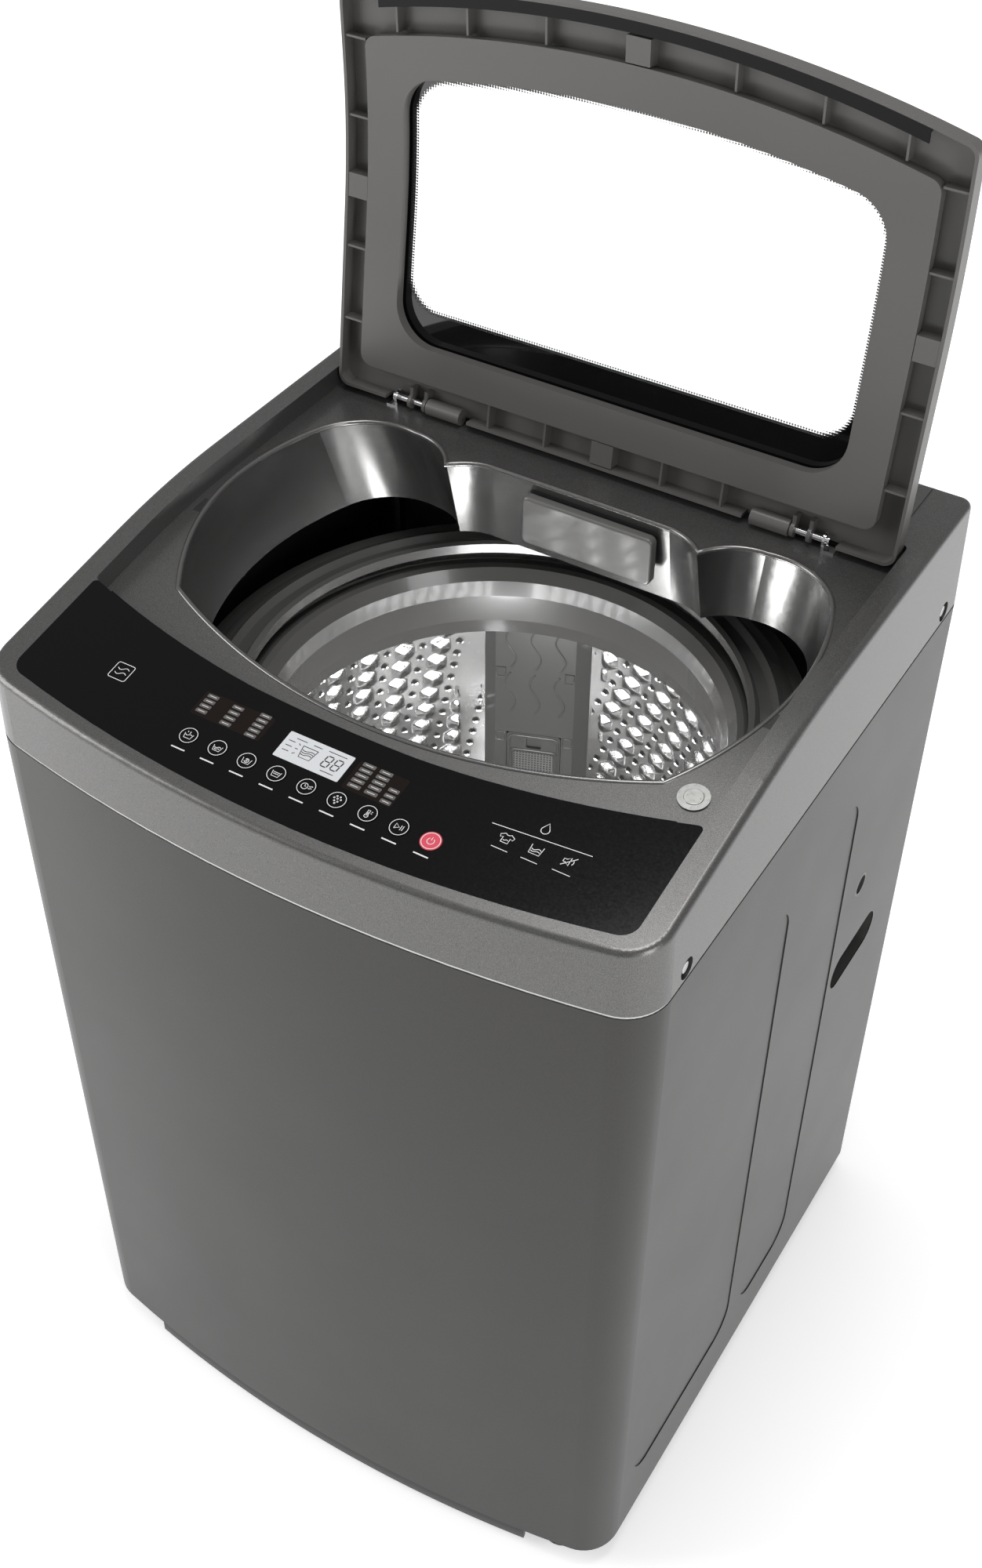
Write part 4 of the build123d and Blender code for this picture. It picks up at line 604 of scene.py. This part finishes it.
FACE_RADIUS = 0.2320
RIB = np.array([
    (-0.0011, -0.0006), (0.0011, -0.0006), (0.0009, 0.0006), (0.0, 0.0011), (-0.0009, 0.0006),
])
RIB_PLACES, RIB_SPANS, SWAY = (-0.026, 0.0, 0.026), ((0.655, 0.706), (0.595, 0.648)), 0.0055
WINDOW_PLACES, WINDOW_HEIGHTS = (-0.036, 0.036), (0.648, 0.560, 0.472, 0.400)
WINDOW = np.array([(-0.0045, -0.006), (0.0045, -0.006), (0.0045, 0.006), (-0.0045, 0.006)])
rib_paths, window_paths = {0: [], 1: []}, {0: [], 1: []}
for number, angle in enumerate(COLUMN_ANGLES):
    origin, outward, sideways = column_frame(angle)
    for offset in RIB_PLACES:
        for low, high in RIB_SPANS:
            t = np.linspace(0, 1, 36)
            sway = SWAY * np.sin(2 * pi * t)
            path = origin + outward * FACE_RADIUS + np.outer(offset + sway, sideways)
            path[:, 2] = low + (high - low) * t
            rib_paths[number].append(path)
    for offset in WINDOW_PLACES:
        for middle in WINDOW_HEIGHTS:
            path = origin + outward * FACE_RADIUS + np.outer(offset + WINDOW[:, 0], sideways)
            path[:, 2] = middle + WINDOW[:, 1]
            window_paths[number].append(path)
    for tag, paths, rings in (("ribs", rib_paths, ()), ("windows", window_paths, "all")):
        sweeps(f"column_{tag}_{number}", paths[number], -outward, RIB, "basket",
               column_plastic, rings, 60.0)

# %% [markdown]
# ## Lint filter
# The filter is a small cassette with a fine mesh window and a finger notch on top. Its mesh is
# too fine to model thread by thread, so the finish darkens a grid of small dots as painted shade
# seen through the openings, and only the raised frame round them is a real shape.

# %% Cassette front
cassette_low, cassette_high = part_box("lint_filter")
print("filter from", round(cassette_low.z, 3), "to", round(cassette_high.z, 3))
MESH_GREY, PORE_SHADE = (0.10, 0.10, 0.098, 1), (0.006, 0.006, 0.006, 1)
PORE_PITCH, PORE_SHARE = 0.0033, 0.26
mesh_finish = Finish("filter_mesh", MESH_GREY[:3], 0.4)
x, y, z = mesh_finish.axes()
along_face = x * sin(COLUMN_ANGLES[0]) - y * cos(COLUMN_ANGLES[0])
grid_x = (along_face / PORE_PITCH).cell() - 0.5
grid_z = (z / PORE_PITCH).cell() - 0.5
pore = (grid_x ** 2 + grid_z ** 2).root() < PORE_SHARE
# painted shade: the dark dots stand for the shade seen through the openings of the mesh
mesh_finish.set("Base Color", mesh_finish.blend(pore, MESH_GREY, PORE_SHADE))
mesh_finish.set("Roughness", pore * 0.3 + 0.35)
mesh_finish.bump(1 - pore, 0.0004)
origin, outward, sideways = column_frame(COLUMN_ANGLES[0])


def rounded_outline(half_wide, half_high, radius, count=6):
    """Corners of a rectangle rounded with quarter circles, anticlockwise."""
    quarter = np.linspace(0, pi / 2, count)
    parts = []
    for k, (sx, sy) in enumerate(((1, 1), (-1, 1), (-1, -1), (1, -1))):
        turn = quarter + k * pi / 2
        centre = np.array([sx * (half_wide - radius), sy * (half_high - radius)])
        parts.append(centre + radius * np.stack([np.cos(turn), np.sin(turn)], axis=1))
    return np.vstack(parts)


def on_face(flat, middle_height, lift):
    """Flat points (sideways, up) put on the column face, lift towards the axis."""
    spot = origin + outward * (FACE_RADIUS - lift) + np.outer(flat[:, 0], sideways)
    spot[:, 2] = middle_height + flat[:, 1]
    return spot


def slab(name, outline, put, low, high, body, finish):
    """A flat plate: the outline at two heights, joined round and capped."""
    points = np.stack([put(outline, low), put(outline, high)])
    count = len(outline)
    faces = grid_faces(2, count, False, True)
    faces += [list(range(count)), list(range(count, 2 * count))]
    return to_mesh(name, points, faces, body, finish, 30.0)


MESH_MIDDLE = 0.4925
slab("filter_mesh", rounded_outline(0.0215, 0.048, 0.003),
     lambda flat, lift: on_face(flat, MESH_MIDDLE, lift), 0.0, 0.0006, "lint_filter",
     mesh_finish)
frame_path = on_face(rounded_outline(0.0245, 0.051, 0.005), MESH_MIDDLE, 0.0)
rim_path = on_face(rounded_outline(0.0265, 0.0595, 0.006), 0.5035, 0.0)
RAISED = RIB * 1.5
sweeps("filter_frame", [frame_path, rim_path], -outward, RAISED, "lint_filter",
       column_plastic, "all", 60.0)

# %% [markdown]
# ## Lip of the loading opening
# The moulding ends in a rounded lip that catches a thin bright line of light. Its path is the
# outline of the opening at the height of the well floor. The outline is made of arcs through
# three points, at the top and at the foot of the skirt, and the wall between them is straight,
# so the lip's height and its place on the wall are found together in a few rounds.

# %% Lip
NOSE = np.array([-0.318, 0.915])
SLOPE = radians(9.65)
TOP_LEVEL, CROWN = 0.963, 0.813
KNEE_Z = TOP_LEVEL - CROWN * (1 - cos(SLOPE))
KNEE_Y = NOSE[0] + (KNEE_Z - NOSE[1]) / tan(SLOPE)
CROWN_Y = KNEE_Y + CROWN * sin(SLOPE)
SEAT = 0.020


def top_height(y):
    """Height of the cover's top: straight slope, then an arc, then level."""
    slope = NOSE[1] + (y - NOSE[0]) * tan(SLOPE)
    arc = TOP_LEVEL - CROWN + np.sqrt(np.maximum(CROWN**2 - (y - CROWN_Y) ** 2, 0))
    return np.where(y < KNEE_Y, slope, np.where(y < CROWN_Y, arc, TOP_LEVEL))


def arc_through(a, b, c, count):
    """Points on the circle through three points, from a past b to c."""
    a, b, c = (np.asarray(p, dtype=float) for p in (a, b, c))
    m = 2 * np.array([b - a, c - a])
    centre = np.linalg.solve(m, np.array([b @ b - a @ a, c @ c - a @ a]))
    radius = np.linalg.norm(a - centre)
    angles = np.unwrap([atan2(*(p - centre)[::-1]) for p in (a, b, c)])
    turn = np.linspace(angles[0], angles[2], count)
    return centre + radius * np.stack([np.cos(turn), np.sin(turn)], axis=1)


def mouth_outline(side, front, rear, cusp):
    """Right half of the opening from the middle of its front to the middle of its rear."""
    corner = (0.85 * side, front + 0.056)
    b = (side - 0.016, rear - 0.040)
    c = (0.65 * side, rear + 0.004)
    d = (0.128, cusp)
    e = (0.092, rear - 0.008)
    f = (0.0, rear - 0.008)
    whole = arc_through((-corner[0], corner[1]), (0, front), corner, 81)[40:]
    parts = [
        whole[:-1],
        arc_through(corner, (side, DRUM[1] - 0.030), b, 50)[:-1],
        arc_through(b, (0.85 * side, rear - 0.008), c, 24)[:-1],
        arc_through(c, (0.148, (rear + cusp) / 2 + 0.008), d, 14)[:-1],
        arc_through(d, (0.112, (rear + cusp) / 2 - 0.001), e, 12)[:-1],
        np.linspace(e, f, 14),
    ]
    return np.vstack(parts)


MOUTH_HIGH, MOUTH_LOW = TOP_LEVEL - 0.010, 0.832
upper_half = mouth_outline(0.279, -0.177, 0.166, 0.139)
lower_half = mouth_outline(0.254, -0.172, 0.186, 0.170)


def whole_mouth(half):
    """The right half and its mirror image as one ring."""
    return np.vstack([half, (half * (-1, 1))[-2:0:-1]])


def mouth_at(height):
    """Ring of the opening at given heights along it."""
    share = ((MOUTH_HIGH - height) / (MOUTH_HIGH - MOUTH_LOW))[:, None]
    return whole_mouth(upper_half) * (1 - share) + whole_mouth(lower_half) * share


lip_height = np.full(len(whole_mouth(upper_half)), 0.93)
for _ in range(6):
    lip_height = top_height(mouth_at(lip_height)[:, 1]) - SEAT
lip_ring = np.column_stack([mouth_at(lip_height), lip_height])
LIP = circle(0.0026, 14)
SUNK = 0.0016                               # the lip's middle lies this far below and behind
lip_finish = flake_paint("lip_paint", (0.15, 0.148, 0.145), 0.26, 1800.0, coat=0.3)
lip_middle = lip_ring - np.array([0, 0, SUNK])
outward_ring = np.column_stack([unit(lip_ring[:, :2] - DRUM), np.zeros(len(lip_ring))])
lip_middle = lip_middle + outward_ring * SUNK
sweeps("mouth_lip", [lip_middle], (0, 0, 1), LIP, "cabinet", lip_finish,
       "all", 60.0)
print("lip height from", lip_height.min().round(4), "to", lip_height.max().round(4))

# %% [markdown]
# ## Front plinth and scoop lines
# Below the case a dark moulded strip closes the gap under the bowed front, between the two
# levelling feet. It follows the same bow a few millimetres behind the steel. On the glossy
# floor of the finger scoop, two shallow ridges follow the panel's rear edge.

# %% Plinth and ridges
BOW, HALF_WIDTH = 0.034, 0.315
PLINTH_HALF, PLINTH_INSET, PLINTH_LEVEL = 0.232, 0.0042, 0.0208
RIDGE_BOW = 0.0385 / 0.289 ** 2             # the ridges bend like the panel's rear edge


def front_bow(x, inset):
    """Place along Y of the bowed front, inset behind it: a flat arc written as a parabola."""
    return NOSE[0] + inset + BOW * (x / HALF_WIDTH) ** 2


x = np.linspace(-PLINTH_HALF, PLINTH_HALF, 60)
plinth_path = np.column_stack([x, front_bow(x, PLINTH_INSET), np.full_like(x, PLINTH_LEVEL)])
plinth_outline = rounded_outline(0.0025, 0.0100, 0.0015, 4)
plinth_plastic = moulded("plinth_plastic", (0.010, 0.010, 0.010), 0.42)
sweeps("front_plinth", [plinth_path], (0, 0, 1), plinth_outline, "cabinet",
       plinth_plastic)
ridges = []
for behind, reach in ((-0.2005, 0.205), (-0.1965, 0.165)):
    x = np.linspace(-reach, reach, 70)
    y = behind + RIDGE_BOW * x ** 2
    ridges.append(np.column_stack([x, y, top_height(y) - SEAT + 0.0015]))
RIDGE = np.array([(-0.0009, -0.0006), (0.0009, -0.0006), (0.0004, 0.0006), (-0.0004, 0.0006)])
sweeps("scoop_ridges", ridges, (0, 0, 1), RIDGE, "cabinet", panel_gloss)

# %% [markdown]
# ## Printed panel
# Everything on the glossy panel is a thin printed film: rings and symbols on the buttons, the
# lit screen, the indicator bars and three function symbols. A flat point (across, up the
# slope) maps to the sloping panel, and strokes are flat ribbons carried along polylines. The
# symbols on a button ride on that button, so they move with it when it is pressed.

# %% Strokes and plates on the panel
PANEL_UP = np.array([0.0, cos(SLOPE), sin(SLOPE)])
PANEL_OUT = np.array([0.0, -sin(SLOPE), cos(SLOPE)])
PANEL_ZERO = np.array([0.0, NOSE[0], NOSE[1]])
FILM = 0.00012
LOW_LIFT, HIGH_LIFT = 0.00005, 0.00020      # prints on the panel, and on top of those
MM = 0.001


def on_panel(flat, lift):
    """Flat points (across, up the slope) at a lift above the panel's face."""
    flat = np.asarray(flat, dtype=float)
    across = np.outer(flat[:, 0], (1, 0, 0))
    return PANEL_ZERO + across + np.outer(flat[:, 1], PANEL_UP) + lift * PANEL_OUT


def film(name, outlines, lift, body, finish):
    """Many thin plates with their outlines given, as one mesh."""
    points, faces, first = [], [], 0
    for outline in outlines:
        count = len(outline)
        points += [on_panel(outline, lift), on_panel(outline, lift + FILM)]
        faces += grid_faces(2, count, False, True, first)
        faces += [list(range(first, first + count)), list(range(first + count, first + 2 * count))]
        first += 2 * count
    return to_mesh(name, np.vstack(points), faces, body, finish, 30.0)


def strokes(name, lines, width, lift, body, finish, rings=()):
    """Flat ribbons of a width along several polylines."""
    flat = np.array([(-width / 2, 0), (width / 2, 0), (width / 2, FILM), (-width / 2, FILM)])
    paths = [on_panel(line, lift) for line in lines]
    return sweeps(name, paths, PANEL_OUT, flat, body, finish, rings, 30.0)


white_print = moulded("white_print", (0.62, 0.62, 0.62), 0.5, 900.0, 0.00001)
grey_print = moulded("grey_print", (0.075, 0.070, 0.066), 0.5, 900.0, 0.00001)
black_print = moulded("black_print", (0.01, 0.01, 0.012), 0.4, 900.0, 0.00001)
screen_glow = moulded("screen_glow", (0.44, 0.45, 0.46), 0.4, 900.0, 0.000005)
screen_glow.set("Emission Color", (0.92, 0.96, 1.0, 1))
screen_glow.set("Emission Strength", 0.12)


def bow(cx, cy, radius, start, end, count=17):
    """Arc about a point, angles in degrees."""
    turn = np.radians(np.linspace(start, end, count))
    return np.stack([cx + radius * np.cos(turn), cy + radius * np.sin(turn)], axis=1)


def wave(cx, cy, width, height, count=15):
    """One period of a sine."""
    t = np.linspace(-0.5, 0.5, count)
    return np.stack([cx + width * t, cy + height * np.sin(2 * pi * t)], axis=1)


def dot_ring(cx, cy, radius):
    """Small circle as a closed line."""
    return bow(cx, cy, radius, 0, 360, 13)


def placed(middle, lines):
    """Lines given in millimetres, set about a point of the panel."""
    return [np.asarray(middle) + np.asarray(line) * MM for line in lines]


print("panel rises at", round(SLOPE, 3), "radians")

# %% [markdown]
# ## Button symbols
# Each button carries a ring and a line symbol, printed in white on the black key: tubs with
# waves, a swirl, a clock, a shower, a thermometer, play and power. The points are millimetres
# about the button's middle, so a symbol can be read and changed without knowing the panel.

# %% Symbols on the buttons
BOWL = [(-4, 2), (-3, -3), (3, -3), (4, 2)]
SHOWER = ((-3, 1.2), (0, 1.2), (3, 1.2), (-1.5, -1.3), (1.5, -1.3), (0, -3.4), (-1.5, 3.4), (1.5, 3.4))
SYMBOLS = {
    "wash": [
        [(-4, 1.5), (-3, -3), (3, -3), (4, 1.5)], wave(0, 0.4, 6.4, 0.7),
        [(0, 1.6), (0, 4)], [(-2, 2.6), (-2.6, 3.8)],
    ],
    "rinse": [BOWL, wave(0, 0.4, 6.0, 0.7), wave(0, -1.2, 4.6, 0.5)],
    "spin": [BOWL, bow(0, 0, 1.9, 200, 500), bow(0, 0.2, 0.8, 20, 320)],
    "level": [BOWL, [(-2.6, -0.6), (2.6, -0.6)], [(-3, 1), (3, 1)]],
    "delay": [
        bow(-1.6, 0, 2.8, 0, 360, 25), [(-1.6, 1.7), (-1.6, 0), (-0.2, 0)],
        wave(3.6, 1.4, 3, 0.5), wave(3.6, -0.6, 3, 0.5),
    ],
    "program": [dot_ring(x, y, 0.55) for x, y in SHOWER],
    "temperature": [
        bow(0, -2.4, 1.6, 125, 415), [(-0.9, -1.1), (-0.9, 3.2), (0.9, 3.2), (0.9, -1.1)],
        [(0, -2.4), (0, 1.2)], [(2.2, 2.4), (3.4, 2.4)], [(2.2, 0.8), (3.4, 0.8)],
    ],
    "start": [
        [(-3.4, -2.4), (-3.4, 2.4), (0.4, 0), (-3.4, -2.4)],
        [(1.7, -2.3), (1.7, 2.3)], [(3.4, -2.3), (3.4, 2.3)],
    ],
    "power": [bow(0, -0.2, 2.9, 125, 415), [(0, 0.6), (0, 3.6)]],
}
BUTTON_PITCH, BUTTON_MIDDLE, BUTTON_ROW, BUTTON_TOP = 0.0283, 0.002, 0.054, 0.0003
RING_RADIUS, LINE_WIDTH = 0.0074, 0.00055
button_places = [BUTTON_MIDDLE + (number - 4) * BUTTON_PITCH for number in range(len(SYMBOLS))]
for (name, symbol), place in zip(SYMBOLS.items(), button_places):
    middle = np.array([place, BUTTON_ROW])
    lines = [middle + circle(RING_RADIUS, 48)] + placed(middle, symbol)
    strokes(f"mark_{name}", lines, LINE_WIDTH, BUTTON_TOP, f"button_{name}",
            white_print, rings=(0,))

# %% [markdown]
# ## Screen and indicators
# The screen is a lit plate under the panel's window with two seven-bar digits and a small tub.
# The indicator bars beside it are printed light on the smoked windows, as short plain bars,
# because words on them would tie the machine to a maker and a language.

# %% Screen
SCREEN = np.array([-0.010, 0.082])
screen_outline = SCREEN + rounded_outline(0.0305, 0.0135, 0.0012)
film("screen", [screen_outline], LOW_LIFT, "cabinet", screen_glow)


def bar(cx, cy, long, thick, upright=False, lean=0.12):
    """Pointed bar of a seven-bar digit, leaning to the right."""
    half, t = long / 2, thick / 2
    lower = [(-half, 0), (-half + t, -t), (half - t, -t)]
    flat = np.array(lower + [(half, 0), (half - t, t), (-half + t, t)])
    if upright:
        flat = flat[:, ::-1]
    flat = flat + (cx, cy)
    return flat + np.stack([flat[:, 1] * lean, np.zeros(len(flat))], axis=1)


digits = []
for left in (0.0125, 0.0215):
    for height in (-0.0055, 0.0, 0.0055):
        digits.append(SCREEN + bar(left, height, 0.0050, 0.0010))
    for side in (-0.0029, 0.0029):
        for height in (-0.00275, 0.00275):
            digits.append(SCREEN + bar(left + side, height, 0.0048, 0.0010, True))
film("screen_digits", digits, HIGH_LIFT, "cabinet", black_print)
tub_lines = [
    [(-13, 5), (-11, -6), (-1, -6), (1, 5)], [(-13, 5), (1, 5)], wave(-6, 1.5, 11.4, 0.7),
    wave(-6, -0.5, 10.8, 0.7), wave(-6, -2.5, 10.2, 0.7), [(-15.5, 4), (-17.5, 5.5)],
    [(-15.5, 0), (-18, 0)], [(-15.5, -4), (-17.5, -5.5)], [(-22, 9), (-12, 9)], [(-6, 9), (2, 9)],
    [(-27, 5), (-21, 5)], [(-27, 0), (-21, 0)], [(-27, -5), (-21, -5)], [(8, 9.6), (25, 9.6)],
    [(12, -9.5), (24, -9.5)],
]
strokes("screen_symbols", placed(SCREEN, tub_lines), 0.0006, HIGH_LIFT, "cabinet",
        black_print)

# %% [markdown]
# ## Indicator bars
# Small lamps behind smoked windows show the chosen programme. Unlit, each is a dull rounded
# bar with a printed note across it. They stand in columns, so a column is written as its
# middle, its highest bar, the step down from bar to bar, their number and their width.

# %% Columns of bars and the notes under the buttons
BAR_COLUMNS = [
    (-0.1175, 0.0960, 0.0055, 4, 0.0105),
    (-0.0925, 0.0955, 0.0060, 4, 0.0105),
    (-0.0675, 0.0985, 0.0055, 5, 0.0105),
    (0.0345, 0.0935, 0.0055, 5, 0.0115),
    (0.0500, 0.0935, 0.0055, 5, 0.0115),
    (0.0645, 0.0815, 0.0060, 3, 0.0095),
]
NOTE_LEVEL, NOTE_HALF = 0.0395, 0.0065
bars, notes = [], []
for middle, highest, step, count, width in BAR_COLUMNS:
    for height in highest - step * np.arange(count):
        bars.append(np.array([middle, height]) + rounded_outline(width / 2, 0.0019, 0.0009, 4))
        notes.append(np.array([(middle - width * 0.3, height), (middle + width * 0.3, height)]))
film("indicators", bars, LOW_LIFT, "cabinet", grey_print)
strokes("indicator_notes", notes, 0.0005, HIGH_LIFT, "cabinet", white_print)
labels = []
for place in button_places:
    labels.append(np.array([(place - NOTE_HALF, NOTE_LEVEL), (place + NOTE_HALF, NOTE_LEVEL)]))
strokes("button_notes", labels, 0.0012, LOW_LIFT, "cabinet", white_print)

# %% [markdown]
# ## Marks at both ends of the panel
# On the right, a thin rule stands over three function symbols: a shirt, a tub and a crossed
# horn, each with a short bar below it, and a water drop above. On the left is a framed sign
# with two waves. All are single lines of one width, as a screen printer would lay them down.

# %% Function symbols and a plain sign
right_half_shirt = [(1, 3.4), (2.4, 4.4), (6, 2.4), (5, 0), (3, 1), (3, -4)]
left_half_shirt = [(-3, -4), (-3, 1), (-5, 0), (-6, 2.4), (-2.4, 4.4), (-1, 3.4)]
shirt = left_half_shirt + right_half_shirt + [(-3, -4)]
tub = [(-5, 4), (-4.4, -4), (4.4, -4), (5, 4)]
horn = [(-4.6, -1.4), (-4.6, 1.4), (-2.4, 1.4), (0.6, 3.8), (0.6, -3.8), (-2.4, -1.4), (-4.6, -1.4)]
drop = bow(0, -1.5, 3.4, 150, 390)
drop = np.vstack([drop, [(0, 5.4)], drop[:1]])
sign = rounded_outline(0.0085, 0.0085, 0.002)
panel_lines = [
    [(0.147, 0.0900), (0.229, 0.0970)],
    *placed((0.164, 0.082), (shirt, wave(0, -1.5, 4, 0.5))),
    *placed((0.189, 0.083), (tub, wave(0, 0.5, 8, 0.9), wave(0, -1.6, 7.6, 0.6))),
    *placed((0.216, 0.085), (horn, [(-5, -5), (5, 5)], bow(0, 0, 3.6, -35, 35))),
    [(0.157, 0.0715), (0.171, 0.0715)],
    [(0.182, 0.0722), (0.196, 0.0722)],
    [(0.208, 0.0735), (0.223, 0.0735)],
    *placed((0.186, 0.1035), [drop]),
    np.array([-0.202, 0.084]) + np.vstack([sign, sign[:1]]),
    *placed((-0.202, 0.087), [wave(0, 0, 11, 1.4)]),
    *placed((-0.202, 0.082), [wave(0, 0, 11, 1.4)]),
]
strokes("panel_marks", panel_lines, 0.0006, LOW_LIFT, "cabinet", white_print)

# %% [markdown]
# ## Floor
# The machine stands on a plain pale studio floor. It glows a little more with distance, so it
# runs out to white behind the machine and still takes a soft shadow close to it.

# %% Floor
floor_finish = Finish("floor", (0.9, 0.9, 0.9), 0.8, Emission_Strength=0.85)
x, y, z = floor_finish.axes()
far = (x ** 2 + y ** 2).root().ramp(1.0, 3.0)
floor_finish.set("Emission Color", floor_finish.blend(far, (0.45, 0.45, 0.45, 1), (1, 1, 1, 1)))
floor_finish.set("Specular IOR Level", 0.1)
dust = floor_finish.noise(3.0, 3.0)
FLOOR_DARK, FLOOR_PALE = (0.90, 0.90, 0.90, 1), (0.93, 0.93, 0.93, 1)
floor_finish.set("Base Color", floor_finish.blend(dust, FLOOR_DARK, FLOOR_PALE))
FLOOR_HALF = 8.0
corners = np.array([(-1, -1, 0), (1, -1, 0), (1, 1, 0), (-1, 1, 0)]) * FLOOR_HALF
floor_mesh = bpy.data.meshes.new("floor")
floor_mesh.from_pydata(corners.tolist(), [], [(0, 1, 2, 3)])
floor = bpy.data.objects.new("floor", floor_mesh)
bpy.context.scene.collection.objects.link(floor)
dress(floor, floor_finish)
print("floor half side:", FLOOR_HALF)

# %% [markdown]
# ## Lamps and room
# Dark metallic paint shows what it reflects, so wide soft lamps stand on both sides and above,
# and the room is white. The deep basket gets little of that light, so a small soft lamp hangs
# inside it, hidden from the camera.

# %% Lamps and room
def soft_lamp(name, spot, aim, size, power):
    """Square soft lamp at a spot, turned towards another."""
    lamp = bpy.data.lights.new(name, "AREA")
    lamp.shape = "RECTANGLE"
    lamp.size, lamp.size_y = size
    lamp.energy = power
    holder = bpy.data.objects.new(name, lamp)
    holder.location = spot
    holder.rotation_euler = (Vector(aim) - Vector(spot)).to_track_quat("-Z", "Y").to_euler()
    bpy.context.scene.collection.objects.link(holder)


soft_lamp("left_lamp", (-2.6, -1.6, 2.0), (0, 0, 0.6), (1.6, 2.4), 62)
soft_lamp("right_lamp", (2.8, -1.4, 1.5), (0, 0, 0.5), (1.0, 2.2), 40)
soft_lamp("top_lamp", (0.1, 0.1, 3.2), (0, 0, 0.9), (1.4, 1.0), 34)
drum_light = bpy.data.lights.new("drum_light", "POINT")
drum_light.shadow_soft_size = 0.07
drum_light.energy = 4.5
drum_lamp = bpy.data.objects.new("drum_light", drum_light)
drum_lamp.location = (0.02, -0.05, 0.60)
drum_lamp.visible_camera = False
bpy.context.scene.collection.objects.link(drum_lamp)
world = bpy.data.worlds.new("room")
world.use_nodes = True
background = world.node_tree.nodes["Background"]
background.inputs["Color"].default_value = (1, 1, 1, 1)
background.inputs["Strength"].default_value = 0.38
bpy.context.scene.world = world
bpy.context.scene.view_settings.view_transform = "Standard"
print("lamps:", sorted(lamp.name for lamp in bpy.data.lights))
